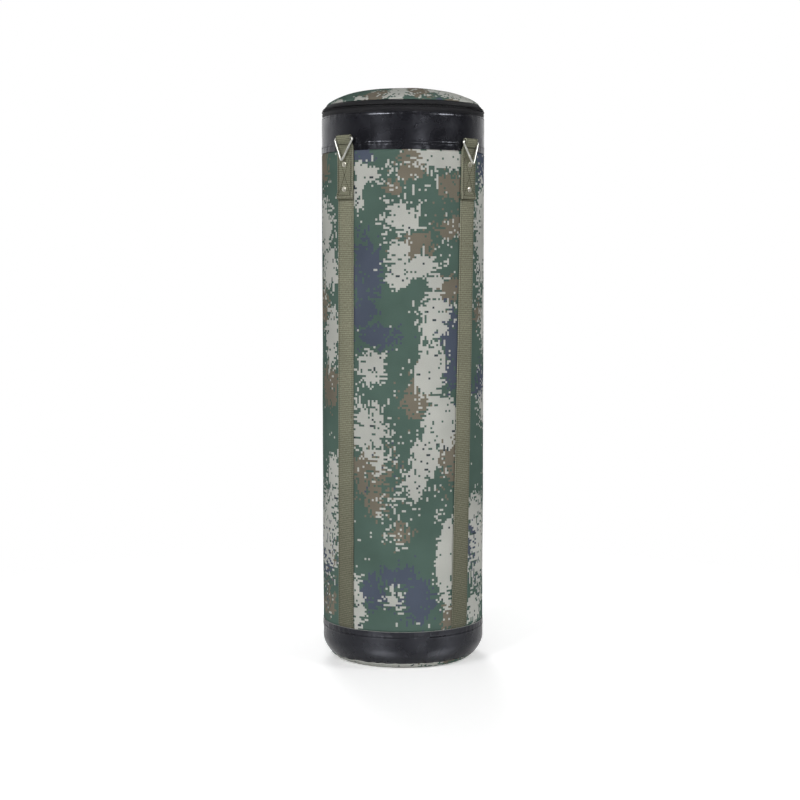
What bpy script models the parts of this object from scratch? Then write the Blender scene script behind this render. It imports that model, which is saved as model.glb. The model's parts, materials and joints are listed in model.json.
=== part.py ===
"""A hanging punching bag: filled canvas tube, leather ends, four hanging straps and a zipped lid.

The bag stands upright on its base. Units are metres, +Z is up, and the origin is the middle of the base.
Every cover is a stretch of one outline, laid at its own depth below it, so the covers overlap as sewn cloth does.
"""
import math

import bmesh
import bpy
from mathutils import Euler, Matrix, Vector

# Overall form
BODY_RADIUS = 0.150          # outside of canvas, collar and cuff, which lie flush
SHOULDER_HEIGHT = 0.997      # base to the seam where the collar meets the zip
DOME_RISE = 0.0495           # height of the lid's dome above its springing
DOME_FULLNESS = 2.18         # 2 is a true ellipse, more is flatter on top with fuller shoulders
SHOULDER_ROLL = 0.0044       # upright stretch between the shoulder seam and the dome's springing
CORNER_REACH = 0.031         # how far the base corner turns in
CORNER_RISE = 0.038          # how high up the side the base corner starts
CORNER_FULLNESS = 1.6        # 2 is a true ellipse, less is flatter
CUFF_TOP = 0.0715            # height of the cuff's upper edge
COLLAR_DEPTH = 0.0655        # collar's lower edge to the shoulder seam
BASE_SEAM_INSET = 0.013      # the base panel meets the cuff this far inside the body's radius

# Cloth thicknesses and the clearance that touching pieces keep
LEATHER = 0.0012
CANVAS = 0.0010
GAP = 0.0003
SEAM_ALLOWANCE = 0.012       # how far one cover runs on under the next
TUCK_SLOPE = 0.003           # length over which a cover dips under its neighbour

# Padding
FOAM = 0.018                 # wall of the foam sleeve
BASE_PAD = 0.029             # thickness of the foam disc on the base
TOP_PAD_SKIRT = 0.012        # how far the lid's foam pad reaches down below the shoulder

# Hanging straps of webbing
WEBBING_WIDTH = 0.038
WEBBING = 0.0016             # thickness
STRAP_TUCK = 0.015           # length sewn in under the cuff
STRAP_RISE = 0.006           # length over which the strap comes out from under the cuff
LOOP_GATHER = 0.0018         # each edge draws in by this much where the webbing passes through the ring
LOOP_STANDOFF = 0.00145      # the loop's back stands this far off its flat run
LOOP_PLAY = 0.0004           # between the ring's bar and the webbing round it
LOOP_WRAP = math.radians(60)  # how far the front layer turns back under the bar
CREASE_RADIUS = 0.002        # middle of the webbing, where the loop closes on the back layer
FLATTEN_LENGTH = 0.008       # the webbing goes from curved round the bag to flat over this length
BAR_DROP = 0.0465            # shoulder seam to a ring's bar, as sewn evenly
BAR_HEIGHT = SHOULDER_HEIGHT - BAR_DROP
TAIL_LENGTH = 0.105          # even bar height to the folded tail's lower end
TAIL_END = BAR_HEIGHT - TAIL_LENGTH
TAIL_TUCK = 0.007            # length folded in behind the tail
TAIL_RAMP = 0.005            # length over which the tail lifts over that fold
STRAPS = {                   # azimuth of the head, lean of the foot in degrees, height of the ring's bar
    "front": (-90.0, -0.8, BAR_HEIGHT + 0.0025),
    "right": (3.5, -7.9, BAR_HEIGHT - 0.0025),
    "back": (90.0, 0.0, BAR_HEIGHT),
    "left": (180.0, 0.0, BAR_HEIGHT),
}

# Triangle rings, bent from wire
RING_WIRE = 0.0035
RING_SLOPE = math.radians(61.5)  # between the bar and each leg
RING_BEND = 0.0026               # middle of the wire at the three corners
RING_SIDE_PLAY = 0.0012          # between the webbing's edge and the start of a bend
RING_LEAN = math.radians(8.5)    # the ring hangs this far out from the bag
RING_SWING_PLAY = 0.00035        # between a raised leg and the webbing's edge

# Rivets and their burrs
UPPER_RIVET_DROP = 0.0435    # below the even bar height
LOWER_RIVET_RISE = 0.0175    # above the folded tail's lower end
RIVET_HEIGHTS = {"upper": BAR_HEIGHT - UPPER_RIVET_DROP, "lower": TAIL_END + LOWER_RIVET_RISE}
RIVET_HEAD_RADIUS = 0.00475
RIVET_HEAD_HEIGHT = 0.0022
RIVET_CROWN = ((0.55, 0.85), (0.88, 0.45))  # points of the dome, as shares of the head's radius and height
RIVET_SHANK_RADIUS = 0.0017
RIVET_TAIL_RADIUS = 0.0026
RIVET_TAIL_TAPER = 0.8       # the tail's end, as a share of its radius
RIVET_TAIL = 0.0006
BURR = 0.0008
BURR_RADIUS = 0.0047
CUTTER_ROOM = 0.004          # a cutter reaches this far beyond what it cuts

# Zip round the lid
TAPE_SHOW = 0.0095           # width of tape between the coil and the cover's edge
TAPE = 0.0008
COIL_WIDTH = 0.0026
COIL = 0.0012
CHAIN_GAP = 0.0016           # between the two coils, where the slider's wedge runs
TAPE_ALLOWANCE = 0.008
PATCH_AZIMUTH = 132.6        # middle of the patch over the zip's ends, in degrees
PATCH_ARC = 40.0
PATCH = 0.0010
PATCH_MARGIN = 0.001         # the patch stops this far short of the collar and the lid

# Zip slider and its pull
SLIDER_LENGTH = 0.010
SLIDER_PLATE = 0.0012
SLIDER_PLAY = 0.0004
SLIDER_INNER_PLAY = 0.0013   # below the tapes, where the faceted ring comes nearer
SLIDER_FLANGE = 0.0010
SLIDER_SHOULDER = 0.7        # where its rounded edges start, as a share of its height above the tape
SLIDER_WEDGE = 0.0008
SLIDER_INNER_PLATE = 0.0010
SLIDER_START = 7.0           # degrees past the patch's end
BRIDGE_WIDTH = 0.0020
BRIDGE = 0.0008
BRIDGE_HALF_LENGTH = 0.0030
PULL_LENGTH = 0.024
PULL_WIDTH = 0.0070
PULL = 0.0012
PULL_SLOT_END = 0.0050       # from the pull's pin to the far end of its slot

TURN_STEPS = 44              # sides of every turned piece of the bag
SMALL_STEPS = 10             # sides of rivets and burrs


# Outline of the bag
def superellipse(reach, rise, fullness, turn):
    """Point on a quarter superellipse: turn 0 lies at (reach, 0), a quarter turn at (0, rise)."""
    power = 2 / fullness
    across = max(math.cos(turn), 0.0) ** power
    up = max(math.sin(turn), 0.0) ** power
    return reach * across, rise * up


def make_outline():
    """Fine points of the outline, from the middle of the base to the top of the lid, with their distances."""
    steps = 160
    inner = BODY_RADIUS - CORNER_REACH
    springing = SHOULDER_HEIGHT + SHOULDER_ROLL
    points = [(0.0, 0.0)]
    for step in range(steps + 1):
        across, up = superellipse(CORNER_REACH, CORNER_RISE, CORNER_FULLNESS, math.pi / 2 * (1 - step / steps))
        points.append((inner + across, CORNER_RISE - up))
    for step in range(steps + 1):
        turn = math.pi / 2 * step / steps
        across, up = superellipse(BODY_RADIUS, DOME_RISE, DOME_FULLNESS, turn)
        points.append((across, springing + up))
    distances = [0.0]
    for (r0, z0), (r1, z1) in zip(points, points[1:]):
        distances.append(distances[-1] + math.hypot(r1 - r0, z1 - z0))
    return points, distances


OUTLINE, DISTANCES = make_outline()
OUTLINE_LENGTH = DISTANCES[-1]


def point_on_outline(distance):
    distance = min(max(distance, 0.0), OUTLINE_LENGTH)
    for (p, q, start, end) in zip(OUTLINE, OUTLINE[1:], DISTANCES, DISTANCES[1:]):
        if distance <= end and end > start:
            share = (distance - start) / (end - start)
            return Vector((p[0] + (q[0] - p[0]) * share, p[1] + (q[1] - p[1]) * share))
    return Vector(OUTLINE[-1])


def directions(distance):
    """Unit vectors along the outline, towards the lid, and square to it, outwards."""
    reach = 0.0005
    along = point_on_outline(distance + reach) - point_on_outline(distance - reach)
    along.normalize()
    return along, Vector((along.y, -along.x))


def laid(distance, depth):
    """(radius, height) at a distance along the outline and a depth below it."""
    _, outward = directions(distance)
    point = point_on_outline(distance) - outward * depth
    return max(point.x, 0.0), point.y


def distance_at_height(height):
    """Where the upright wall has this height."""
    return distance_at_springing() - (springing_height() - height)


def springing_height():
    return SHOULDER_HEIGHT + SHOULDER_ROLL


def distance_at_springing():
    for point, distance in zip(OUTLINE, DISTANCES):
        if point[1] >= springing_height() - 1e-9:
            return distance
    return OUTLINE_LENGTH


def distance_at_base_radius(radius):
    for point, distance in zip(OUTLINE, DISTANCES):
        if point[0] >= radius:
            return distance
    return OUTLINE_LENGTH


BASE_SEAM = distance_at_base_radius(BODY_RADIUS - BASE_SEAM_INSET)
CUFF_EDGE = distance_at_height(CUFF_TOP)
COLLAR_EDGE = distance_at_height(SHOULDER_HEIGHT - COLLAR_DEPTH)
SHOULDER = distance_at_height(SHOULDER_HEIGHT)
CHAIN_START = SHOULDER + TAPE_SHOW
CHAIN_MIDDLE = CHAIN_START + COIL_WIDTH + CHAIN_GAP / 2
CHAIN_END = CHAIN_START + 2 * COIL_WIDTH + CHAIN_GAP
LID_EDGE = CHAIN_END + TAPE_SHOW

# A flat side of a turned piece lies this far inside its round
FACET_SAG = BODY_RADIUS * (1 - math.cos(math.pi / TURN_STEPS))
TAPE_DEPTH = max(LEATHER, CANVAS, COIL + FACET_SAG, PATCH + FACET_SAG) + GAP

# The strap's foot runs between the cuff and the canvas, so the canvas dips deeper there
FOOT_DEPTH = LEATHER + FACET_SAG + GAP
CANVAS_FOOT_DEPTH = FOOT_DEPTH + WEBBING + GAP
CANVAS_HEAD_DEPTH = LEATHER + GAP

# Strap and ring geometry, as offsets beyond BODY_RADIUS
BACK_LAYER = GAP + WEBBING / 2
FRONT_LAYER = BACK_LAYER + WEBBING + GAP
TAIL_LAYER = FRONT_LAYER + WEBBING + GAP
LOOP_RADIUS = RING_WIRE / 2 + LOOP_PLAY + WEBBING / 2
BAR_OFFSET = BACK_LAYER + LOOP_STANDOFF + LOOP_RADIUS
LOOP_HALF_WIDTH = WEBBING_WIDTH / 2 - LOOP_GATHER
BEND_TANGENT = RING_BEND * math.tan((math.pi - RING_SLOPE) / 2)
RING_HALF_WIDTH = LOOP_HALF_WIDTH + RING_SIDE_PLAY + BEND_TANGENT
RING_DEPTH = RING_HALF_WIDTH * math.tan(RING_SLOPE)
LEG_HALF_WIDTH = RING_WIRE / 2 / math.sin(RING_SLOPE)
LEG_CLEAR_LENGTH = (RING_HALF_WIDTH - LEG_HALF_WIDTH - LOOP_HALF_WIDTH - RING_SWING_PLAY) * math.tan(RING_SLOPE)
LOOP_SLACK = LEG_CLEAR_LENGTH - LOOP_RADIUS - WEBBING / 2

# Rivet stack, as offsets beyond BODY_RADIUS
RIVET_SEAT = FRONT_LAYER + WEBBING / 2 + GAP
BURR_OUTER = -CANVAS - FACET_SAG - GAP
BURR_INNER = BURR_OUTER - BURR
RIVET_TAIL_OUTER = BURR_INNER - GAP
RIVET_END = RIVET_TAIL_OUTER - RIVET_TAIL


# Shared helpers
def clear_scene():
    for item in list(bpy.data.objects):
        bpy.data.objects.remove(item, do_unlink=True)


def finish(name, colour, roughness, metallic=0.0):
    material = bpy.data.materials.new(name)
    material.use_nodes = True
    shader = material.node_tree.nodes["Principled BSDF"]
    shader.inputs["Base Color"].default_value = (*colour, 1.0)
    shader.inputs["Roughness"].default_value = roughness
    shader.inputs["Metallic"].default_value = metallic
    material.diffuse_color = (*colour, 1.0)
    return material


def smoothstep(share):
    share = min(max(share, 0.0), 1.0)
    return share * share * (3 - 2 * share)


def object_from(bm, name, material, smooth_angle=35):
    """Turn a bmesh into a named object with faces out and round faces shaded smooth."""
    bmesh.ops.recalc_face_normals(bm, faces=bm.faces)
    mesh = bpy.data.meshes.new(name)
    bm.to_mesh(mesh)
    bm.free()
    mesh.materials.append(material)
    mesh.shade_smooth()
    mesh.set_sharp_from_angle(angle=math.radians(smooth_angle))
    piece = bpy.data.objects.new(name, mesh)
    bpy.context.scene.collection.objects.link(piece)
    return piece


def turned(name, profile, material, steps=TURN_STEPS, start=0.0, sweep=math.tau):
    """Spin a profile of (radius, height) points about Z. A profile that meets the axis at both ends is closed
    there, any other is a closed loop. A sweep of less than a full turn gets end faces."""
    on_axis = profile[0][0] < 1e-9 and profile[-1][0] < 1e-9
    bm = bmesh.new()
    begin = Matrix.Rotation(start, 4, "Z")
    verts = [bm.verts.new(begin @ Vector((radius, 0.0, height))) for radius, height in profile]
    pairs = list(zip(verts, verts[1:]))
    if not on_axis:
        pairs.append((verts[-1], verts[0]))
    edges = [bm.edges.new(pair) for pair in pairs]
    full = sweep > math.tau - 1e-6
    bmesh.ops.spin(bm, geom=verts + edges, cent=(0, 0, 0), axis=(0, 0, 1), angle=sweep, steps=steps,
                   use_merge=full, use_duplicate=False)
    bmesh.ops.remove_doubles(bm, verts=bm.verts, dist=1e-6)
    if not full:
        open_edges = [edge for edge in bm.edges if edge.is_boundary]
        bmesh.ops.holes_fill(bm, edges=open_edges, sides=0)
    return object_from(bm, name, material)


def sheet_profile(stations, thickness):
    """Both faces of a sheet whose outer face runs through (distance, depth) stations, from its start and back."""
    outer = [laid(distance, depth) for distance, depth in stations]
    inner = [laid(distance, depth + thickness) for distance, depth in reversed(stations)]
    return outer + inner


def cover(name, stations, thickness, material, **turn):
    return turned(name, sheet_profile(stations, thickness), material, **turn)


def stretch(start, end, count, depth):
    """Evenly spaced stations at one depth."""
    return [(start + (end - start) * step / count, depth) for step in range(count + 1)]


def extruded(name, outline, thickness, material):
    """A closed outline in the XZ plane, extruded along Y by its thickness, centred on Y = 0."""
    bm = bmesh.new()
    verts = [bm.verts.new((x, -thickness / 2, z)) for x, z in outline]
    face = bm.faces.new(verts)
    result = bmesh.ops.extrude_face_region(bm, geom=[face])
    moved = [item for item in result["geom"] if isinstance(item, bmesh.types.BMVert)]
    bmesh.ops.translate(bm, verts=moved, vec=(0, thickness, 0))
    return object_from(bm, name, material)


def as_cutter(piece):
    piece.hide_render = True
    piece.display_type = "WIRE"
    return piece


def boolean(piece, cutter, operation):
    modifier = piece.modifiers.new(operation.lower(), "BOOLEAN")
    modifier.operation = operation
    modifier.object = cutter
    modifier.solver = "EXACT"


# Where things stand round the bag
def strap_azimuth(strap, height):
    """Azimuth of a strap's middle line at a height: it leans evenly from below its loop to its foot."""
    azimuth, lean, bar_height = STRAPS[strap]
    top = bar_height - CREASE_DROP
    share = (top - height) / (top - CUFF_TOP)
    return math.radians(azimuth + lean * min(max(share, 0.0), 1.0))


def outward_at(azimuth):
    return Vector((math.cos(azimuth), math.sin(azimuth), 0.0))


def facing(azimuth):
    """Rotation that turns a piece built facing -Y so that it faces outwards at an azimuth."""
    return Euler((0, 0, azimuth + math.pi / 2))


# Covers and padding
def panel_under_cuff():
    """Stations of the base panel: flat, round the corner, then tucked in under the cuff."""
    flat_edge = distance_at_base_radius(BODY_RADIUS - CORNER_REACH)
    showing = [(0.0, 0.0)] + stretch(flat_edge, BASE_SEAM - TUCK_SLOPE, 2, 0.0)
    return showing + [(BASE_SEAM, LEATHER + GAP), (BASE_SEAM + SEAM_ALLOWANCE, LEATHER + GAP)]


def lid_stations(depth):
    """Stations of the lid: one over the zip tape's edge, then evenly up to the top."""
    tape_end = LID_EDGE + TAPE_ALLOWANCE
    return [(LID_EDGE, depth)] + stretch(tape_end, OUTLINE_LENGTH, 6, depth)


def closed_on_axis(points):
    """A profile whose two ends are set exactly on the axis."""
    return [(0.0, points[0][1])] + points[1:-1] + [(0.0, points[-1][1])]


def make_covers(canvas, leather):
    turned("base_panel", closed_on_axis(sheet_profile(panel_under_cuff(), CANVAS)), canvas)

    panel_end = BASE_SEAM + SEAM_ALLOWANCE
    cuff = stretch(BASE_SEAM, panel_end, 2, 0.0) + stretch(panel_end, distance_at_height(CORNER_RISE), 3, 0.0)[1:]
    cover("bottom_cuff", cuff + [(CUFF_EDGE, 0.0)], LEATHER, leather)

    body = [
        (CUFF_EDGE - SEAM_ALLOWANCE, CANVAS_FOOT_DEPTH),
        (CUFF_EDGE, CANVAS_FOOT_DEPTH),
        (CUFF_EDGE + STRAP_RISE + TUCK_SLOPE, 0.0),
        (COLLAR_EDGE - TUCK_SLOPE - GAP, 0.0),
        (COLLAR_EDGE - GAP, CANVAS_HEAD_DEPTH),
        (COLLAR_EDGE + SEAM_ALLOWANCE, CANVAS_HEAD_DEPTH),
    ]
    body_canvas = cover("body_canvas", body, CANVAS, canvas)

    cover("top_collar", [(COLLAR_EDGE, 0.0), (SHOULDER, 0.0)], LEATHER, leather)

    lid = list(reversed(lid_stations(0.0)))
    turned("lid_panel", closed_on_axis(sheet_profile(lid, CANVAS)), canvas)
    return body_canvas


def make_padding(foam, filling):
    under_canvas = CANVAS + GAP
    foot = BODY_RADIUS - CANVAS_FOOT_DEPTH - under_canvas
    pad_top = under_canvas + BASE_PAD
    rim = [laid(distance, depth + under_canvas) for distance, depth in panel_under_cuff()]
    turned("base_pad", closed_on_axis(rim + [(foot, pad_top), (0.0, pad_top)]), foam)

    skirt = SHOULDER_HEIGHT - TOP_PAD_SKIRT
    low, high = pad_top + GAP, skirt - GAP
    core_radius = BODY_RADIUS - under_canvas - FOAM - GAP
    turned("filling_core", [(0.0, low), (core_radius, low), (core_radius, high), (0.0, high)], filling)

    middle = BODY_RADIUS - under_canvas
    head = BODY_RADIUS - CANVAS_HEAD_DEPTH - under_canvas
    bore = core_radius + GAP
    collar_low = SHOULDER_HEIGHT - COLLAR_DEPTH
    sleeve = [
        (bore, low), (foot, low), (foot, CUFF_TOP + GAP),
        (middle, CUFF_TOP + STRAP_RISE + TUCK_SLOPE + GAP),
        (middle, collar_low - TUCK_SLOPE - 2 * GAP), (head, collar_low - 2 * GAP),
        (head, high), (bore, high),
    ]
    foam_sleeve = turned("foam_sleeve", sleeve, foam)

    # The slider's inner plate runs in the channel between the tapes and the lid's pad
    channel = TAPE_DEPTH + TAPE + SLIDER_INNER_PLAY + SLIDER_INNER_PLATE + SLIDER_PLAY + GAP
    past_tape = LID_EDGE + TAPE_ALLOWANCE
    stations = [(SHOULDER - TOP_PAD_SKIRT, channel)] + stretch(SHOULDER, past_tape, 2, channel)
    stations += lid_stations(under_canvas)[2::2]
    profile = [(0.0, skirt)] + [laid(*station) for station in stations]
    turned("top_pad", closed_on_axis(profile), foam)
    return foam_sleeve


# Zip
def zip_ends():
    """Azimuth where the coils start, past the patch, and the angle that they run through."""
    half = math.radians(PATCH_ARC / 2)
    middle = math.radians(PATCH_AZIMUTH)
    play = GAP / BODY_RADIUS * 2
    return middle + half + play, math.tau - 2 * half - 2 * play


def make_zip(tape, coil, leather):
    lower_end = CHAIN_START + COIL_WIDTH
    upper_start = lower_end + CHAIN_GAP
    lower = (SHOULDER - TAPE_ALLOWANCE, SHOULDER + SHOULDER_ROLL, CHAIN_START, lower_end)
    upper = (upper_start, CHAIN_END, LID_EDGE, LID_EDGE + TAPE_ALLOWANCE)
    cover("zip_tape_lower", [(distance, TAPE_DEPTH) for distance in lower], TAPE, tape)
    cover("zip_tape_upper", [(distance, TAPE_DEPTH) for distance in upper], TAPE, tape)
    start, sweep = zip_ends()
    for name, low in (("zip_coil_lower", CHAIN_START), ("zip_coil_upper", upper_start)):
        high = low + COIL_WIDTH
        section = [
            laid(low, COIL), laid(low, COIL / 2), laid((low + high) / 2, 0.0), laid(high, COIL / 2), laid(high, COIL),
        ]
        turned(name, section, coil, steps=round(TURN_STEPS * sweep / math.tau), start=start, sweep=sweep)
    depth = TAPE_DEPTH - FACET_SAG - GAP - PATCH
    across = (SHOULDER + PATCH_MARGIN, SHOULDER + SHOULDER_ROLL, CHAIN_START, lower_end, upper_start, CHAIN_END,
              LID_EDGE - PATCH_MARGIN)
    stations = [(distance, depth) for distance in across]
    cover("zip_end_patch", stations, PATCH, leather, steps=6, start=math.radians(PATCH_AZIMUTH - PATCH_ARC / 2),
          sweep=math.radians(PATCH_ARC))


def slider_pose():
    """Place and rotation of the slider: X runs along the zip, Y up across it and Z out of the bag."""
    azimuth = math.radians(PATCH_AZIMUTH + PATCH_ARC / 2 + SLIDER_START)
    up_slope, outward = directions(CHAIN_MIDDLE)
    middle = point_on_outline(CHAIN_MIDDLE)
    along = Vector((-math.sin(azimuth), math.cos(azimuth), 0.0))
    radial = outward_at(azimuth)
    across = radial * up_slope.x + Vector((0, 0, up_slope.y))
    out = along.cross(across)
    turn = Matrix((along, across, out)).transposed()
    return radial * middle.x + Vector((0, 0, middle.y)), turn


def make_slider(metal):
    """The slider's section, an outer plate with flanges, a wedge and an inner plate, drawn across the zip."""
    place, turn = slider_pose()
    chain_half = COIL_WIDTH + CHAIN_GAP / 2
    inside = chain_half + SLIDER_PLAY
    outside = inside + SLIDER_FLANGE
    top = SLIDER_PLAY + SLIDER_PLATE
    flange_low = -(TAPE_DEPTH - SLIDER_PLAY)
    inner_top = -(TAPE_DEPTH + TAPE + SLIDER_INNER_PLAY)
    inner_low = inner_top - SLIDER_INNER_PLATE
    wedge = SLIDER_WEDGE / 2
    half = [(wedge, inner_top), (wedge, SLIDER_PLAY), (inside, SLIDER_PLAY), (inside, flange_low),
            (outside, flange_low), (outside, top * SLIDER_SHOULDER), (outside - SLIDER_FLANGE / 2, top)]
    section = [(inside, inner_low), (inside, inner_top)] + half
    mirrored = [(-y, z) for y, z in reversed(section)]
    slider = extruded("zip_slider", section + mirrored, SLIDER_LENGTH, metal)
    slider.location = place
    slider.rotation_euler = (turn @ Matrix.Rotation(math.pi / 2, 3, "Z")).to_euler()

    pin = PULL / 2 + SLIDER_PLAY
    under = pin + PULL / 2 + SLIDER_PLAY
    sunk = SLIDER_PLATE / 2
    reach = BRIDGE_HALF_LENGTH
    arch = [
        (reach, -sunk), (reach, under), (reach - BRIDGE, under + BRIDGE), (BRIDGE - reach, under + BRIDGE),
        (-reach, under), (-reach, -sunk), (BRIDGE - reach, -sunk), (BRIDGE - reach, under), (reach - BRIDGE, under),
        (reach - BRIDGE, -sunk),
    ]
    bridge = as_cutter(extruded("slider_bridge", arch, BRIDGE_WIDTH, metal))
    lift = turn @ Vector((0, 0, top))
    bridge.location = place + lift
    bridge.rotation_euler = turn.to_euler()
    boolean(slider, bridge, "UNION")
    return place + turn @ Vector((0, 0, top + pin)), turn


def make_pull(metal, pin_place, turn):
    """A flat pull with a slot: its end bar lies under the slider's bridge and is the pin that it turns on."""
    half = PULL_WIDTH / 2
    near, far = -PULL / 2, PULL_LENGTH
    tip = 6
    outline = [(near, -half), (near, half)]
    for step in range(tip + 1):
        angle = math.pi / 2 - math.pi * step / tip
        outline.append((far - half + half * math.cos(angle), half * math.sin(angle)))
    pull = extruded("zip_pull", outline, PULL, metal)
    pull.location = pin_place
    flat = turn @ Matrix.Rotation(math.pi / 2, 3, "X")
    pull.rotation_euler = flat.to_euler()

    slot_half = BRIDGE_WIDTH / 2 + SLIDER_PLAY
    slot = [(PULL / 2, -slot_half), (PULL_SLOT_END, -slot_half), (PULL_SLOT_END, slot_half), (PULL / 2, slot_half)]
    cutter = as_cutter(extruded("pull_slot", slot, PULL * 3, metal))
    cutter.location = pin_place
    cutter.rotation_euler = flat.to_euler()
    boolean(pull, cutter, "DIFFERENCE")


# Straps
def crease_geometry():
    """Start and end of the crease below the bar, as (offset, height above the bar)."""
    arc_end = Vector((BAR_OFFSET + LOOP_RADIUS * math.cos(LOOP_WRAP), -LOOP_RADIUS * math.sin(LOOP_WRAP)))
    heading = Vector((-math.sin(LOOP_WRAP), -math.cos(LOOP_WRAP)))
    run = (arc_end.x - FRONT_LAYER) / math.sin(LOOP_WRAP)
    corner = arc_end + heading * run
    tangent = CREASE_RADIUS * math.tan(LOOP_WRAP / 2)
    centre = Vector((FRONT_LAYER + CREASE_RADIUS, corner.y - tangent))
    return centre, -centre.y


CREASE_CENTRE, CREASE_DROP = crease_geometry()


def arc(centre, radius, start, end, steps):
    """Points on an arc, angles in radians from the outward direction."""
    points = []
    for step in range(steps + 1):
        angle = start + (end - start) * step / steps
        points.append((centre[0] + radius * math.cos(angle), centre[1] + radius * math.sin(angle)))
    return points


def s_curve(start, end, steps):
    """Points that ease from one offset to another over a height."""
    points = []
    for step in range(steps + 1):
        share = step / steps
        points.append((start[0] + (end[0] - start[0]) * smoothstep(share), start[1] + (end[1] - start[1]) * share))
    return points


def strap_path(bar_height):
    """Middle line of the webbing, foot to tail, as (offset beyond BODY_RADIUS, height)."""
    foot = -(FOOT_DEPTH + WEBBING / 2)
    closes = bar_height - CREASE_DROP
    path = [(foot, CUFF_TOP - STRAP_TUCK)]
    path += s_curve((foot, CUFF_TOP), (BACK_LAYER, CUFF_TOP + STRAP_RISE), 4)
    run_start = CUFF_TOP + STRAP_RISE
    run_end = closes - FLATTEN_LENGTH
    path += [(BACK_LAYER, run_start + (run_end - run_start) * step / 6) for step in range(1, 7)]
    path.append((BACK_LAYER, run_end + FLATTEN_LENGTH / 2))
    path += s_curve((BACK_LAYER, closes), (BAR_OFFSET - LOOP_RADIUS, bar_height), 4)
    path += arc((BAR_OFFSET, bar_height + LOOP_SLACK), LOOP_RADIUS, math.pi, 0.0, 7)
    path += arc((BAR_OFFSET, bar_height), LOOP_RADIUS, 0.0, -LOOP_WRAP, 3)
    crease = (CREASE_CENTRE.x, bar_height + CREASE_CENTRE.y)
    path += arc(crease, CREASE_RADIUS, math.pi - LOOP_WRAP, math.pi, 3)
    ramp_top = TAIL_END + TAIL_TUCK + WEBBING + TAIL_RAMP
    path.append((FRONT_LAYER, crease[1] - FLATTEN_LENGTH / 2))
    path.append((FRONT_LAYER, crease[1] - FLATTEN_LENGTH))
    path += s_curve((FRONT_LAYER, ramp_top), (TAIL_LAYER, ramp_top - TAIL_RAMP), 3)
    fold = (TAIL_LAYER - FRONT_LAYER) / 2
    path += arc((FRONT_LAYER + fold, TAIL_END + WEBBING / 2 + fold), fold, 0.0, -math.pi, 4)
    path.append((FRONT_LAYER, TAIL_END + WEBBING / 2 + TAIL_TUCK))
    return path


def make_strap(name, strap, webbing, holes):
    """A sheet along the webbing's middle line, thickened by a Solidify modifier and drilled for the rivets."""
    azimuth, _, bar_height = STRAPS[strap]
    flat_start = bar_height - CREASE_DROP - FLATTEN_LENGTH
    lanes = 4
    bm = bmesh.new()
    rows = []
    for offset, height in strap_path(bar_height):
        flat = smoothstep((height - flat_start) / FLATTEN_LENGTH)
        half = WEBBING_WIDTH / 2 + (LOOP_HALF_WIDTH - WEBBING_WIDTH / 2) * flat
        radius = BODY_RADIUS + offset
        swing = strap_azimuth(strap, height) - math.radians(azimuth)
        row = []
        for lane in range(lanes + 1):
            across = half * (2 * lane / lanes - 1)
            angle = across / BODY_RADIUS
            curved = Vector((radius * math.sin(angle), -radius * math.cos(angle), height))
            straight = Vector((across, -radius, height))
            row.append(bm.verts.new(Matrix.Rotation(swing, 3, "Z") @ curved.lerp(straight, flat)))
        rows.append(row)
    for low, high in zip(rows, rows[1:]):
        for lane in range(lanes):
            bm.faces.new((low[lane], low[lane + 1], high[lane + 1], high[lane]))
    piece = object_from(bm, name, webbing)
    piece.rotation_euler = facing(math.radians(azimuth))
    thicken = piece.modifiers.new("thickness", "SOLIDIFY")
    thicken.thickness = WEBBING
    thicken.offset = 0.0
    thicken.use_even_offset = True
    boolean(piece, holes, "DIFFERENCE")


# Rings
def make_ring(name, strap, steel):
    """A triangle bent from wire, drawn in the XZ plane with its bar on the joint's axis."""
    azimuth, _, bar_height = STRAPS[strap]
    corners = [Vector((-RING_HALF_WIDTH, 0)), Vector((0, -RING_DEPTH)), Vector((RING_HALF_WIDTH, 0))]
    wire = []
    bend_steps = 4
    for index, corner in enumerate(corners):
        before = (corners[index - 1] - corner).normalized()
        after = (corners[(index + 1) % 3] - corner).normalized()
        half_angle = before.angle(after) / 2
        centre = corner + (before + after).normalized() * RING_BEND / math.sin(half_angle)
        tangent = RING_BEND / math.tan(half_angle)
        first = corner + before * tangent - centre
        last = corner + after * tangent - centre
        for step in range(bend_steps + 1):
            share = step / bend_steps
            mix = first.slerp(last, share)
            wire.append(centre + mix.normalized() * RING_BEND)
    curve = bpy.data.curves.new(name, "CURVE")
    curve.dimensions = "3D"
    curve.bevel_depth = RING_WIRE / 2
    curve.bevel_resolution = 2
    spline = curve.splines.new("POLY")
    spline.points.add(len(wire) - 1)
    for point, place in zip(spline.points, wire):
        point.co = (place.x, 0.0, place.y, 1.0)
    spline.use_cyclic_u = True
    curve.materials.append(steel)
    ring = bpy.data.objects.new(name, curve)
    bpy.context.scene.collection.objects.link(ring)
    pivot = bpy.data.objects.new(name + "_pivot", None)
    bpy.context.scene.collection.objects.link(pivot)
    pivot.location = outward_at(math.radians(azimuth)) * (BODY_RADIUS + BAR_OFFSET) + Vector((0, 0, bar_height))
    pivot.rotation_euler = facing(math.radians(azimuth))
    ring.parent = pivot
    ring.rotation_euler = Euler((-RING_LEAN, 0, 0))


# Rivets
def rivet_place(strap, height):
    """Rotation and point on the bag's surface for a rivet, whose own +Z points out of the bag."""
    azimuth = strap_azimuth(strap, height)
    turn = Matrix.Rotation(azimuth, 3, "Z") @ Matrix.Rotation(math.pi / 2, 3, "Y")
    return outward_at(azimuth) * BODY_RADIUS + Vector((0, 0, height)), turn


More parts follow.
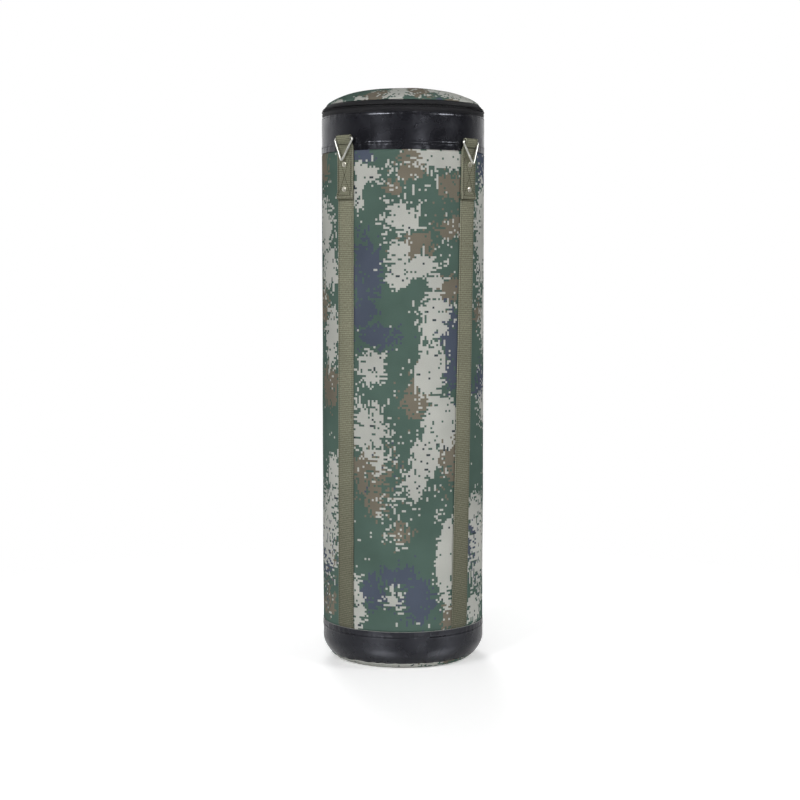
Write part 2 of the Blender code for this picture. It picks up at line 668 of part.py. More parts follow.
def make_rivet(name, strap, height, nickel):
    head, seat = RIVET_HEAD_RADIUS, RIVET_SEAT
    profile = [
        (0.0, seat + RIVET_HEAD_HEIGHT),
        *[(head * across, seat + RIVET_HEAD_HEIGHT * up) for across, up in RIVET_CROWN], (head, seat),
        (RIVET_SHANK_RADIUS, seat), (RIVET_SHANK_RADIUS, RIVET_TAIL_OUTER), (RIVET_TAIL_RADIUS, RIVET_TAIL_OUTER),
        (RIVET_TAIL_RADIUS * RIVET_TAIL_TAPER, RIVET_END), (0.0, RIVET_END),
    ]
    rivet = turned(name, profile, nickel, steps=SMALL_STEPS)
    place, turn = rivet_place(strap, height)
    rivet.location = place
    rivet.rotation_euler = turn.to_euler()


def make_burr(name, strap, height, nickel):
    hole = RIVET_SHANK_RADIUS + GAP
    profile = [(hole, BURR_INNER), (hole, BURR_OUTER), (BURR_RADIUS, BURR_OUTER), (BURR_RADIUS, BURR_INNER)]
    burr = turned(name, profile, nickel, steps=SMALL_STEPS)
    place, turn = rivet_place(strap, height)
    burr.location = place
    burr.rotation_euler = turn.to_euler()


def radial_cutters(name, radius, low, high, material):
    """One cylinder at every rivet, from a low to a high offset beyond BODY_RADIUS."""
    bm = bmesh.new()
    for strap in STRAPS:
        for height in RIVET_HEIGHTS.values():
            place, turn = rivet_place(strap, height)
            middle = Matrix.Translation(place + turn @ Vector((0, 0, (low + high) / 2)))
            bmesh.ops.create_cone(bm, cap_ends=True, segments=SMALL_STEPS, radius1=radius, radius2=radius,
                                  depth=high - low, matrix=middle @ turn.to_4x4())
    return as_cutter(object_from(bm, name, material))


def main():
    clear_scene()
    canvas = finish("printed_canvas", (0.19, 0.22, 0.20), 0.85)
    leather = finish("black_leather", (0.028, 0.028, 0.032), 0.38)
    webbing = finish("olive_webbing", (0.19, 0.19, 0.14), 0.80)
    steel = finish("plated_wire", (0.78, 0.78, 0.76), 0.18, 1.0)
    nickel = finish("nickel_rivet", (0.72, 0.70, 0.64), 0.25, 1.0)
    tape = finish("zip_tape", (0.024, 0.024, 0.026), 0.75)
    coil = finish("zip_coil", (0.030, 0.030, 0.032), 0.35)
    metal = finish("zip_metal", (0.06, 0.06, 0.065), 0.30, 1.0)
    foam = finish("foam", (0.55, 0.55, 0.50), 0.90)
    filling = finish("textile_filling", (0.40, 0.38, 0.36), 0.95)

    body_canvas = make_covers(canvas, leather)
    foam_sleeve = make_padding(foam, filling)
    make_zip(tape, coil, leather)
    pin_place, turn = make_slider(metal)
    make_pull(metal, pin_place, turn)

    holes = radial_cutters("rivet_holes", RIVET_SHANK_RADIUS + GAP, -CUTTER_ROOM, RIVET_SEAT + CUTTER_ROOM, nickel)
    pockets = radial_cutters("burr_pockets", BURR_RADIUS + GAP, RIVET_END - GAP, CUTTER_ROOM, foam)
    boolean(body_canvas, holes, "DIFFERENCE")
    boolean(foam_sleeve, pockets, "DIFFERENCE")
    for strap in STRAPS:
        make_strap(f"hanging_strap_{strap}", strap, webbing, holes)
        make_ring(f"triangle_ring_{strap}", strap, steel)
        for place, height in RIVET_HEIGHTS.items():
            make_rivet(f"rivet_{place}_{strap}", strap, height, nickel)
            make_burr(f"rivet_burr_{place}_{strap}", strap, height, nickel)


main()
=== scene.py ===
# %% [markdown]
# # A hanging punching bag
# The bag is a tube of printed canvas, packed hard with textile, closed by black leather at both ends and
# by a zipped lid on top. Four webbing straps run up its sides and hold the rings that it hangs from.
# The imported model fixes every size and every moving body. This file dresses that model, piece by piece.

# %% Load the fixed frame
import itertools
import json
import math
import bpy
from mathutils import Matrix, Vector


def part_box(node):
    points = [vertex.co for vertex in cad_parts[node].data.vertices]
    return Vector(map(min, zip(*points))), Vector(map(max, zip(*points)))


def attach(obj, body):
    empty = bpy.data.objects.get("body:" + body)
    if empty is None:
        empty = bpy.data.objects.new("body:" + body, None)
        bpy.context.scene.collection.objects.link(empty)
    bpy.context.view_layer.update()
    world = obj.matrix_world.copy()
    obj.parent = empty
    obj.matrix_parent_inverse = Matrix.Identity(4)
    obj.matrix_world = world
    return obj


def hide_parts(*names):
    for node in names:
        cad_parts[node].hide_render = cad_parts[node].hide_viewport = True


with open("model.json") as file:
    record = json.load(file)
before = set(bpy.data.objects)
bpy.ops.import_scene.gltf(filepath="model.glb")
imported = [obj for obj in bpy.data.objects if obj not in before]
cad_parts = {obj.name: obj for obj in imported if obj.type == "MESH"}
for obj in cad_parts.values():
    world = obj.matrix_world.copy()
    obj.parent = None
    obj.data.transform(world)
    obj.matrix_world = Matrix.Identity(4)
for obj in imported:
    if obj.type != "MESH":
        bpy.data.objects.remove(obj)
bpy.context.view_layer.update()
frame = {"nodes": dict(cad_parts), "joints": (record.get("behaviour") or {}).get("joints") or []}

from types import SimpleNamespace

import bmesh
import bpy
import numpy as np
from mathutils import Vector

# %% [markdown]
# ## Sizes
# Every cover of the bag follows one outline: a flat base, a soft corner, an upright wall and a domed lid.
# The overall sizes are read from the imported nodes, so that a cover can never miss the solid that it
# stands for. The thicknesses and small offsets are the same driving values that the solids were made with.

# %% Read the overall sizes from the frame
RADIUS = round(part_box("top_collar")[1].x, 4)
CUFF_TOP = round(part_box("bottom_cuff")[1].z, 5)
COLLAR_LOW, SHOULDER_HEIGHT = (round(corner.z, 5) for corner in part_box("top_collar"))
LID_TOP = round(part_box("lid_panel")[1].z, 5)
RIVET_HEAD = 0.00475         # radius of a rivet's cap
LOWER_RIVET_RISE = 0.0175    # from the end of a strap's folded tail up to its lower rivet
TAIL_END = round(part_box("rivet_lower_front")[0].z + RIVET_HEAD - LOWER_RIVET_RISE, 5)

LEATHER = 0.0012
CANVAS = 0.0010
GAP = 0.0003
TUCK = 0.003                 # length over which a cover dips under its neighbour
SEAM_ALLOWANCE = 0.012
SHOULDER_ROLL = 0.0044
CORNER_REACH, CORNER_RISE, CORNER_FULLNESS = 0.031, 0.038, 1.6
DOME_FULLNESS = 2.18         # 2 is a true ellipse, more is flatter on top
BASE_SEAM_INSET = 0.013
SPRINGING = SHOULDER_HEIGHT + SHOULDER_ROLL
OUTLINE_STEPS = 900
NEAR = 0.0005                # a slope is measured over this much to each side
print("radius", RADIUS, "cuff", CUFF_TOP, "collar", COLLAR_LOW, "shoulder", SHOULDER_HEIGHT, "top", LID_TOP)


# %% The outline, with a distance along it
def run_length(points):
    """Distance along a line of (x, y) points, from its start."""
    return np.concatenate([[0.0], np.cumsum(np.hypot(*np.diff(points, axis=0).T))])


def make_outline():
    turn = np.linspace(0, math.pi / 2, OUTLINE_STEPS)
    power = 2 / CORNER_FULLNESS
    corner_r = RADIUS - CORNER_REACH + CORNER_REACH * np.sin(turn) ** power
    corner_z = CORNER_RISE * (1 - np.clip(np.cos(turn), 0, 1) ** power)
    power = 2 / DOME_FULLNESS
    crown_r = RADIUS * np.clip(np.cos(turn), 0, 1) ** power
    crown_z = SPRINGING + (LID_TOP - SPRINGING) * np.sin(turn) ** power
    r = np.concatenate([[0.0], corner_r, crown_r])
    z = np.concatenate([[0.0], corner_z, crown_z])
    return r, z, run_length(np.stack([r, z], -1))


LINE_R, LINE_Z, LINE_S = make_outline()
LINE_LENGTH = LINE_S[-1]
LINE_HALF = len(LINE_R) // 2


def on_outline(distance, lift=0.0):
    """Radius and height at a distance along the outline, lifted square to it."""
    distance = np.asarray(distance, float)
    before, after = np.clip(distance - NEAR, 0, LINE_LENGTH), np.clip(distance + NEAR, 0, LINE_LENGTH)
    dr = np.interp(after, LINE_S, LINE_R) - np.interp(before, LINE_S, LINE_R)
    dz = np.interp(after, LINE_S, LINE_Z) - np.interp(before, LINE_S, LINE_Z)
    length = np.hypot(dr, dz)
    r = np.interp(distance, LINE_S, LINE_R) + lift * dz / length
    z = np.interp(distance, LINE_S, LINE_Z) - lift * dr / length
    return np.maximum(r, 0.0), z


def at_height(height):
    return float(np.interp(height, LINE_Z[1:], LINE_S[1:]))


BASE_SEAM = float(np.interp(RADIUS - BASE_SEAM_INSET, LINE_R[:LINE_HALF], LINE_S[:LINE_HALF]))
CUFF_EDGE = at_height(CUFF_TOP)
COLLAR_EDGE = at_height(COLLAR_LOW)
SHOULDER = at_height(SHOULDER_HEIGHT)
print("outline is", round(LINE_LENGTH, 4), "m long, shoulder seam at", round(SHOULDER, 4))

# %% [markdown]
# ## Camera
# The picture was taken from a little below the shoulder, looking slightly down, between two of the straps.
# The lens, height and distance were fitted to the seams and edges of the bag. No lens shift is used, so the
# bag also sits in the middle when the camera is moved round it.

# %% Camera
VIEW_AZIMUTH = math.radians(42.6)
CAMERA_DISTANCE = 3.10
CAMERA_HEIGHT = 0.7137
CAMERA_TILT = math.radians(4.345)
PICTURE_SIDE = 800
FOCAL_PIXELS = 1667.2
AXIS_PIXEL = 403
SENSOR_MM = 36.0


def add_object(name, data):
    item = bpy.data.objects.new(name, data)
    bpy.context.scene.collection.objects.link(item)
    return item


def from_camera_side(side, distance, height):
    """A point beside the bag: side is the angle to the right of the camera, in radians."""
    angle = VIEW_AZIMUTH + side
    return Vector((math.sin(angle) * distance, -math.cos(angle) * distance, height))


camera_data = bpy.data.cameras.new("camera")
camera_data.sensor_width = SENSOR_MM
camera_data.lens = FOCAL_PIXELS * SENSOR_MM / PICTURE_SIDE
camera = add_object("camera", camera_data)
camera.location = from_camera_side(0.0, CAMERA_DISTANCE, CAMERA_HEIGHT)
pan = math.atan((AXIS_PIXEL - PICTURE_SIDE / 2) / FOCAL_PIXELS)
camera.rotation_euler = (math.pi / 2 - CAMERA_TILT, 0, VIEW_AZIMUTH + pan)
bpy.context.scene.camera = camera
print("lens", round(camera_data.lens, 2), "mm")

# %% [markdown]
# ## Node shorthand
# A shader graph is easier to read when it looks like a sum. These two small classes add nodes to one
# material and link them. A value that is the same all over goes straight onto its socket.


# %% A short way to write shader graphs
class Value:
    """An output of a shader node. Each sum or comparison with it adds one Math node."""

    def __init__(self, graph, socket):
        self.graph, self.socket = graph, socket

    def __add__(self, other):
        return self.graph.math("ADD", self, other)

    def __sub__(self, other):
        return self.graph.math("SUBTRACT", self, other)

    def __rsub__(self, other):
        return self.graph.math("SUBTRACT", other, self)

    def __mul__(self, other):
        return self.graph.math("MULTIPLY", self, other)

    def __truediv__(self, other):
        return self.graph.math("DIVIDE", self, other)

    def __gt__(self, other):
        return self.graph.math("GREATER_THAN", self, other)

    def __lt__(self, other):
        return self.graph.math("LESS_THAN", self, other)

    def __abs__(self):
        return self.graph.math("ABSOLUTE", self)


class Graph:
    """Adds shader nodes to a new material, or to the tree it is given."""

    def __init__(self, name, tree=None):
        if tree is None:
            self.material = bpy.data.materials.new(name)
            self.material.use_nodes = True
            tree = self.material.node_tree
            self.shader = tree.nodes["Principled BSDF"]
        self.tree = tree

    def feed(self, socket, value):
        if isinstance(value, Value):
            self.tree.links.new(value.socket, socket)
        else:
            socket.default_value = value

    def node(self, kind, inputs=(), **settings):
        node = self.tree.nodes.new("ShaderNode" + kind)
        for key, value in settings.items():
            setattr(node, key, value)
        for key, value in dict(inputs).items():
            self.feed(node.inputs[key], value)
        return node

    def add(self, kind, inputs=(), output=0, **settings):
        return Value(self, self.node(kind, inputs, **settings).outputs[output])

    def math(self, operation, *values):
        return self.add("Math", enumerate(values), operation=operation)

    def vector(self, operation, *values):
        output = "Value" if operation in ("LENGTH", "DOT_PRODUCT") else "Vector"
        return self.add("VectorMath", enumerate(values), output, operation=operation)

    def scale(self, vector, factor):
        return self.add("VectorMath", {0: vector, "Scale": factor}, operation="SCALE")

    def parts(self, vector):
        return [Value(self, socket) for socket in self.node("SeparateXYZ", {"Vector": vector}).outputs]

    def join(self, x, y):
        return self.add("CombineXYZ", {"X": x, "Y": y})

    def noise(self, vector, size, detail=2.0, roughness=0.5):
        """Smooth noise with features about as large as size, in metres. It stays between 0 and 1."""
        inputs = {"Vector": vector, "Scale": 1 / size, "Detail": detail, "Roughness": roughness}
        return self.add("TexNoise", inputs, "Fac")

    def white(self, cells, seed):
        """A random number for each cell."""
        shifted = self.vector("ADD", cells, seed)
        return self.add("TexWhiteNoise", {"Vector": shifted}, "Value", noise_dimensions="3D")

    def rescale(self, value, low, high, to_low=0.0, to_high=1.0, smooth=False):
        kind = "SMOOTHSTEP" if smooth else "LINEAR"
        inputs = {"Value": value, "From Min": low, "From Max": high, "To Min": to_low, "To Max": to_high}
        return self.add("MapRange", inputs, interpolation_type=kind)

    def uneven(self, vector, size, detail, low, high):
        """Smooth noise that wanders between two values."""
        return self.rescale(self.noise(vector, size, detail), 0.3, 0.7, low, high)

    def mix(self, factor, first, second):
        """Mixes two colours."""
        return self.add("Mix", {"Factor": factor, 6: first, 7: second}, 2, data_type="RGBA")

    def blend(self, factor, first, second):
        """Mixes two numbers."""
        return self.add("Mix", {"Factor": factor, 2: first, 3: second}, data_type="FLOAT")

    def bump(self, height, distance, strength=1.0, **normal):
        return self.add("Bump", {"Height": height, "Distance": distance, "Strength": strength, **normal})

    def flat(self):
        """Where a point lay on the flat cloth or leather before it was sewn, in metres."""
        return self.add("UVMap", uv_map="flat")

    def place(self):
        return self.add("TexCoord", output="Object")

    def finish(self, colour, roughness, normal=None, **sockets):
        sockets = {"Base Color": colour, "Roughness": roughness, **sockets}
        if normal is not None:
            sockets["Normal"] = normal
        for name, value in sockets.items():
            self.feed(self.shader.inputs[name.replace("_", " ")], value)
        return self.material


def srgb(red, green, blue):
    """A colour as it is read from a screen, 0 to 255, as the linear colour that a shader takes."""
    parts = [value / 255 for value in (red, green, blue)]
    return (*[part / 12.92 if part <= 0.04045 else ((part + 0.055) / 1.055) ** 2.4 for part in parts], 1.0)


# %% [markdown]
# ## Light and backdrop
# The bag stands in a white studio. Four wide softboxes, one of them behind it, give it plain and even light,
# at which a colour shows as it is written. Two high panels and two narrow strips only draw highlights, on
# metal and on leather. What shiny things mirror is white behind the bag and dim behind the camera, which is
# why black leather looks dark in the middle and pale at its edges.
# The floor fades out into the white, and only keeps the soft shadow under the bag.

# %% Softboxes
BAG_MIDDLE = Vector((0, 0, LID_TOP / 2))
PLAIN_BOX = (3.2, 1.7, 1.3, 1.3)     # distance, height, width and height of the light's face
HIGH_PANEL = (3.2, 2.9, 1.3, 1.3)
LOW_STRIP = (2.2, 0.55, 0.20, 1.1)


def softbox(name, side, power, box):
    """A rectangular area light. side is the angle to the right of the camera, in degrees."""
    distance, height, wide, tall = box
    data = bpy.data.lights.new(name, "AREA")
    data.shape = "RECTANGLE"
    data.size, data.size_y = wide, tall
    data.energy = power
    light = add_object(name, data)
    light.location = from_camera_side(math.radians(side), distance, height)
    light.rotation_euler = (BAG_MIDDLE - light.location).to_track_quat("-Z", "Y").to_euler()
    return light


# %% Lights that shiny parts don't mirror, then lights that only shiny parts show
for name, side, power in (("front", -5, 25), ("left", -35, 59), ("right", 66, 47), ("back", -172, 85)):
    softbox(f"{name}_softbox", side, power, PLAIN_BOX).visible_glossy = False

for name, side, power, box in (
    ("left_high_panel", -35, 95, HIGH_PANEL), ("right_high_panel", 66, 75, HIGH_PANEL),
    ("left_strip", -31, 1.8, LOW_STRIP), ("right_strip", 24.5, 5.4, LOW_STRIP),
):
    softbox(name, side, power, box).visible_diffuse = False
print("softboxes:", len(bpy.data.lights))

# %% World
AMBIENT = 0.20
DARK_GLOW, BRIGHT_GLOW = 0.05, 1.0
DARK_SIDE = math.radians(15)
DARK_FROM, BRIGHT_FROM = 0.05, -0.92    # how nearly a mirrored ray points at the dark side

world = bpy.data.worlds.new("studio")
bpy.context.scene.world = world
world.use_nodes = True
sky = Graph("studio", world.node_tree)
dark_side = tuple(from_camera_side(DARK_SIDE, 1.0, 0.0))
facing_dark = sky.vector("DOT_PRODUCT", sky.add("TexCoord", output="Generated"), dark_side)
mirrored = sky.rescale(facing_dark, DARK_FROM, BRIGHT_FROM, DARK_GLOW, BRIGHT_GLOW)
glossy, camera_ray, through = (sky.add("LightPath", output=f"Is {kind} Ray")
                               for kind in ("Glossy", "Camera", "Transmission"))
lighting = sky.blend(glossy, AMBIENT, mirrored)
strength = sky.blend(sky.math("MAXIMUM", camera_ray, through), lighting, 1.0)
background = world.node_tree.nodes["Background"]
sky.feed(background.inputs["Color"], (1, 1, 1, 1))
sky.feed(background.inputs["Strength"], strength)

# %% Floor
FLOOR_RADIUS = 1.6
FLOOR_DROP = 0.0004
FLOOR_FADE_START, FLOOR_FADE_END = 0.55, 1.3
FLOOR_GREY, POLISH_GREY = (0.9, 0.9, 0.9, 1), (0.78, 0.78, 0.78, 1)
FLOOR_GLOW = 0.30            # lifts the floor to white for the camera alone
POLISH_SHARE = 0.68          # how much of the floor shiny parts see as polish
POLISH_ROUGHNESS = 0.42

paint = Graph("pale_floor")
paint.tree.nodes.remove(paint.shader)
fade = paint.rescale(paint.vector("LENGTH", paint.place()), FLOOR_FADE_START, FLOOR_FADE_END, smooth=True)
glow = paint.add("LightPath", output="Is Camera Ray") * FLOOR_GLOW
polish_share = paint.add("LightPath", output="Is Glossy Ray") * POLISH_SHARE
dull = paint.add("BsdfDiffuse", {"Color": FLOOR_GREY})
lit = paint.add("AddShader", {0: dull, 1: paint.add("Emission", {"Strength": glow})})
polish = paint.add("BsdfAnisotropic", {"Color": POLISH_GREY, "Roughness": POLISH_ROUGHNESS})
lit = paint.add("MixShader", {0: polish_share, 1: lit, 2: polish})
faded = paint.add("MixShader", {0: fade, 1: lit, 2: paint.add("BsdfTransparent")})
paint.feed(paint.tree.nodes["Material Output"].inputs["Surface"], faded)

floor_mesh = bpy.data.meshes.new("floor")
bm = bmesh.new()
bmesh.ops.create_circle(bm, cap_ends=True, segments=96, radius=FLOOR_RADIUS)
bm.to_mesh(floor_mesh)
bm.free()
floor_mesh.materials.append(paint.material)
floor = add_object("floor", floor_mesh)
floor.location.z = -FLOOR_DROP
bpy.context.scene.view_settings.view_transform = "Standard"
print("floor fades out at", FLOOR_FADE_END, "m")

# %% [markdown]
# ## Printed canvas
# The canvas carries a pixel camouflage: square cells of light grey, green, brown and dark blue whose
# patches are taller than wide and dissolve at their edges into loose cells and short dashes.
# A picture of it could be wrapped round the bag, but a pattern from nodes stays sharp at any distance.
# So each point is snapped to the middle of its cell on the flat cloth, and soft fields of noise, dithered
# cell by cell, decide which ink that cell holds. A few large patches are placed one by one, as ellipses in
# the picture's own pixels, so that the visible side has the bag's own rhythm of light and dark.

# %% Where the large patches lie, as left, right, top and bottom in the picture
CELL = 0.00370               # side of one square cell of the print
WALL_PATCHES = {
    "grey": [
        (419, 462, 147, 168), (355, 378, 165, 183), (354, 365, 180, 210), (387, 421, 206, 230),
        (391, 411, 240, 262), (391, 437, 256, 276), (425, 441, 272, 292), (387, 409, 270, 287),
        (420, 447, 290, 345), (416, 442, 340, 400), (425, 456, 395, 448), (412, 438, 432, 480),
        (402, 424, 466, 502), (360, 388, 352, 380), (355, 386, 408, 453), (373, 390, 450, 470),
        (437, 453, 520, 606), (353, 366, 576, 632), (324, 340, 246, 290), (328, 341, 310, 366),
        (330, 341, 452, 505), (323, 332, 200, 250), (474, 484, 182, 284), (467, 480, 496, 530),
        (474, 484, 545, 582), (467, 480, 596, 622), (386, 402, 590, 608), (480, 484, 286, 345),
        (479, 484, 385, 425), (470, 484, 508, 592), (323, 340, 498, 562),
    ],
    "blue": [
        (353, 378, 146, 164), (353, 384, 240, 300), (350, 376, 300, 326), (360, 397, 325, 348),
        (441, 460, 312, 384), (474, 484, 150, 182), (474, 484, 367, 396), (366, 384, 580, 606),
        (382, 416, 566, 586), (403, 430, 578, 626), (323, 333, 520, 575), (467, 479, 524, 562),
    ],
    "brown": [
        (399, 426, 147, 179), (385, 406, 180, 195), (436, 462, 172, 200), (436, 462, 218, 240),
        (401, 432, 230, 256), (437, 458, 275, 302), (403, 426, 380, 418), (355, 384, 452, 500),
        (362, 387, 490, 512), (437, 458, 430, 478), (392, 411, 524, 545), (441, 454, 602, 626),
        (322, 330, 150, 182), (322, 331, 288, 322), (325, 341, 366, 404), (324, 338, 592, 612),
        (328, 337, 546, 570), (472, 480, 304, 324),
    ],
}
LID_PATCHES = {
    "grey": [
        (386, 408, 86, 102), (430, 445, 89, 94), (440, 462, 92, 99), (458, 472, 96, 105),
        (332, 341, 100, 107), (356, 368, 97, 100),
    ],
    "brown": [
        (407, 432, 88, 97), (365, 387, 91, 101), (446, 462, 99, 103),
    ],
    "blue": [
        (436, 443, 98, 101),
    ],
}
# Where patches break up, and where loose pale cells lie on them
SHATTERED = [
    (362, 412, 428, 522), (378, 408, 584, 616), (320, 342, 470, 620), (465, 486, 500, 620),
]
WALL_SPRINKLED = [
    (372, 452, 146, 206), (374, 402, 190, 250), (437, 458, 214, 262), (352, 378, 384, 412),
    (370, 412, 486, 560), (470, 484, 280, 352), (470, 484, 364, 424), (322, 338, 196, 240),
]
LID_SPRINKLED = [
    (403, 436, 88, 100), (362, 390, 90, 102),
]

CAMERA_POLAR = VIEW_AZIMUTH - math.pi / 2
CANVAS_SEAM = math.radians(138)   # where the covers' strips are sewn closed, at the back
PIXEL_RADIUS = 80.5               # half the bag's width in the picture
SIGHT_STEP = 0.0005


def flat_angle(polar):
    """Angle from the canvas's closing seam, 0 to a full turn."""
    return (polar - CANVAS_SEAM) % math.tau


def rise_of_sight(y):
    """How much the line of sight through a row of the picture rises for each metre."""
    return math.tan(math.atan((PICTURE_SIDE / 2 - y) / FOCAL_PIXELS) - CAMERA_TILT)


def on_flat_canvas(x, y):
    """A point of the picture, as a place on the flat canvas in metres."""
    side = math.asin(min(max((x - AXIS_PIXEL) / PIXEL_RADIUS, -1.0), 1.0))
    height = CAMERA_HEIGHT + rise_of_sight(y) * (CAMERA_DISTANCE - RADIUS * math.cos(side))
    return flat_angle(CAMERA_POLAR + side) * RADIUS, height


def on_flat_lid(x, y):
    """Where the line of sight meets the lid: an angle times the radius, and the distance from its middle."""
    reach = np.arange(CAMERA_DISTANCE - RADIUS, CAMERA_DISTANCE, SIGHT_STEP)
    towards, right = CAMERA_DISTANCE - reach, reach * (x - AXIS_PIXEL) / FOCAL_PIXELS
    from_axis = np.hypot(towards, right)
    crown = slice(None, LINE_HALF, -1)
    above = CAMERA_HEIGHT + reach * rise_of_sight(y) - np.interp(from_axis, LINE_R[crown], LINE_Z[crown])
    hits = np.flatnonzero((above < 0) & (from_axis < RADIUS))
    hit = hits[0] if len(hits) else np.argmin(above)
    ring = LINE_LENGTH - np.interp(from_axis[hit], LINE_R[crown], LINE_S[crown])
    return flat_angle(CAMERA_POLAR + math.atan2(right[hit], towards[hit])) * RADIUS, float(ring)


def lid_spot(graph, flat):
    """The same two measures of the lid, in a shader that knows the flat disc."""
    x, y, _ = graph.parts(flat)
    turned = graph.math("MODULO", graph.math("ARCTAN2", y, x) + (2 * math.tau - CANVAS_SEAM), math.tau)
    return graph.join(turned * RADIUS, graph.vector("LENGTH", flat))


WALL_LAYOUT = SimpleNamespace(patches=WALL_PATCHES, shattered=SHATTERED, sprinkled=WALL_SPRINKLED,
                              locate=on_flat_canvas, spot=lambda graph, flat: flat, waver=0.030)
LID_LAYOUT = SimpleNamespace(patches=LID_PATCHES, shattered=(), sprinkled=LID_SPRINKLED,
                             locate=on_flat_lid, spot=lid_spot, waver=0.012)


# %% Inks of the print
INKS = {"green": srgb(79, 98, 90), "brown": srgb(113, 107, 95), "blue": srgb(78, 85, 99),
        "grey": srgb(177, 178, 172)}
DARK_INK, DARK_SHARE = srgb(60, 68, 72), 0.035    # loose dark cells on the grey patches
LEVELS = {"brown": 0.615, "blue": 0.62, "grey": 0.535}    # a higher level leaves less of an ink
BASE_LEVELS = {"brown": 0.60, "blue": 0.74, "grey": 0.38}
DASH_CELLS, DASH_SHIFT = 3.0, 1.7     # a dash joins three cells, and each row of dashes is shifted
DASH_WEIGHT, SINGLE_WEIGHT = 1.3, 0.7
DITHER, PATCH_SLOPE = 0.26, 9.0
OUTSIDE = 3.0                         # further from every patch than any point that counts
VIEW_START, VIEW_END = 1.40, 1.62     # radians from the camera's side between which placed patches end
DASH_FIELD, WAVE, PATCH_SIZE = 0.05, 0.045, 0.052    # sizes of the slow fields, in metres
UPRIGHT = 0.55                        # patches are nearly twice as tall as wide
LOOSEST = 2.6                         # how much further cells stray where a patch is shattered
STRAY_AT_EDGE, STRAY_INSIDE, SPRINKLE = 0.09, 0.014, 0.30    # shares of loose pale cells


def patch_field(graph, place, patches, locate):
    """1 in the middle of the nearest patch, 0 at its edge and negative outside."""
    nearest = OUTSIDE
    for left, right, top, bottom in patches:
        x, y = (left + right) / 2, (top + bottom) / 2
        (u0, _), (u1, _) = locate(left, y), locate(right, y)
        (_, v1), (_, v0) = locate(x, top), locate(x, bottom)
        wide, tall = 2 / abs(u1 - u0), 2 / abs(v1 - v0)
        shift = (-(u0 + u1) / 2 * wide, -(v0 + v1) / 2 * tall, 0.0)
        away = graph.vector("LENGTH", graph.vector("MULTIPLY_ADD", place, (wide, tall, 0.0), shift))
        nearest = graph.math("MINIMUM", away, nearest)
    return 1.0 - nearest


def threes(graph, along, across):
    """Numbers the dashes of three cells that lie one way on the cloth."""
    return graph.math("FLOOR", graph.math("MULTIPLY_ADD", across, DASH_SHIFT, along) / DASH_CELLS)


def camouflage(graph, flat, levels, layout):
    """Colour of the print. levels says how rare each ink is, and layout places patches by hand."""
    cell = graph.vector("FLOOR", graph.scale(flat, 1 / CELL))
    centre = graph.scale(graph.vector("ADD", cell, (0.5, 0.5, 0.0)), CELL)
    column, row, _ = graph.parts(cell)
    lying = graph.join(threes(graph, column, row), row)
    standing = graph.join(column, threes(graph, row, column))
    which_way = graph.noise(centre, DASH_FIELD, 0.0) > 0.5
    dash = graph.add("Mix", {"Factor": which_way, 4: lying, 5: standing}, 1, data_type="VECTOR")
    looseness = 1.0
    if layout:
        spot = layout.spot(graph, centre)
        from_middle = abs(graph.parts(spot)[0] - flat_angle(CAMERA_POLAR) * RADIUS)
        in_view = graph.rescale(from_middle, VIEW_END * RADIUS, VIEW_START * RADIUS, smooth=True)
        wave = graph.add("TexNoise", {"Vector": centre, "Scale": 1 / WAVE, "Detail": 1.0}, "Color")
        wave = graph.scale(graph.vector("SUBTRACT", wave, (0.5, 0.5, 0.5)), layout.waver)
        bent = graph.vector("ADD", spot, wave)
        shattered = patch_field(graph, bent, layout.shattered, layout.locate)
        looseness = graph.rescale(shattered, -0.2, 0.4, 1.0, LOOSEST)
    tall_cloth = graph.vector("MULTIPLY", centre, (1.0, UPRIGHT, 1.0))
    colour = INKS["green"]
    for number, (ink, level) in enumerate(levels.items(), start=1):
        seed = (number * 37.0, number * 53.0, number * 11.0)
        single, joined = graph.white(cell, seed), graph.white(dash, seed)
        spread = graph.math("MULTIPLY_ADD", joined, DASH_WEIGHT, single * SINGLE_WEIGHT) - 1.0
        dither = (spread * DITHER + graph.math("POWER", spread, 3.0)) * looseness
        field = graph.noise(graph.vector("ADD", tall_cloth, seed), PATCH_SIZE, 1.0)
        field = (field - level) * PATCH_SLOPE
        if layout:
            field = graph.blend(in_view, field, patch_field(graph, bent, layout.patches[ink], layout.locate))
        inked = field + dither > 0.0
        colour = graph.mix(inked, colour, INKS[ink])
    gap = single > 0.50
    chance = graph.rescale(abs(field), 0.0, 0.8, STRAY_AT_EDGE, STRAY_INSIDE)
    if layout:
        sprinkled = patch_field(graph, bent, layout.sprinkled, layout.locate)
        chance = chance + graph.rescale(sprinkled, -0.1, 0.5, 0.0, SPRINKLE)
    pale = graph.white(dash, (211.0, 17.0, 5.0)) + gap < chance
    dark = graph.white(dash, (71.0, 97.0, 3.0)) + gap < inked * DARK_SHARE
    return graph.mix(dark, graph.mix(pale, colour, INKS["grey"]), DARK_INK)


def canvas_material(name, levels, layout=None):
    """Printed cotton canvas: the camouflage, slightly uneven ink, and a plain weave of 0.6 mm threads."""
    graph = Graph(name)
    flat = graph.flat()
    colour = camouflage(graph, flat, levels, layout)
    tone = graph.uneven(flat, 0.09, 3.0, 0.90, 1.10) * graph.uneven(flat, 0.0011, 1.0, 0.90, 1.10)
    warp_thread, weft_thread, _ = graph.parts(graph.scale(flat, math.tau / 0.0012))
    weave = graph.math("SINE", warp_thread) * graph.math("SINE", weft_thread)
    roughness = graph.uneven(flat, 0.02, 2.0, 0.82, 0.94)
    return graph.finish(graph.scale(colour, tone), roughness, graph.bump(weave, 0.00012, 0.4),
                        Specular_IOR_Level=0.03)


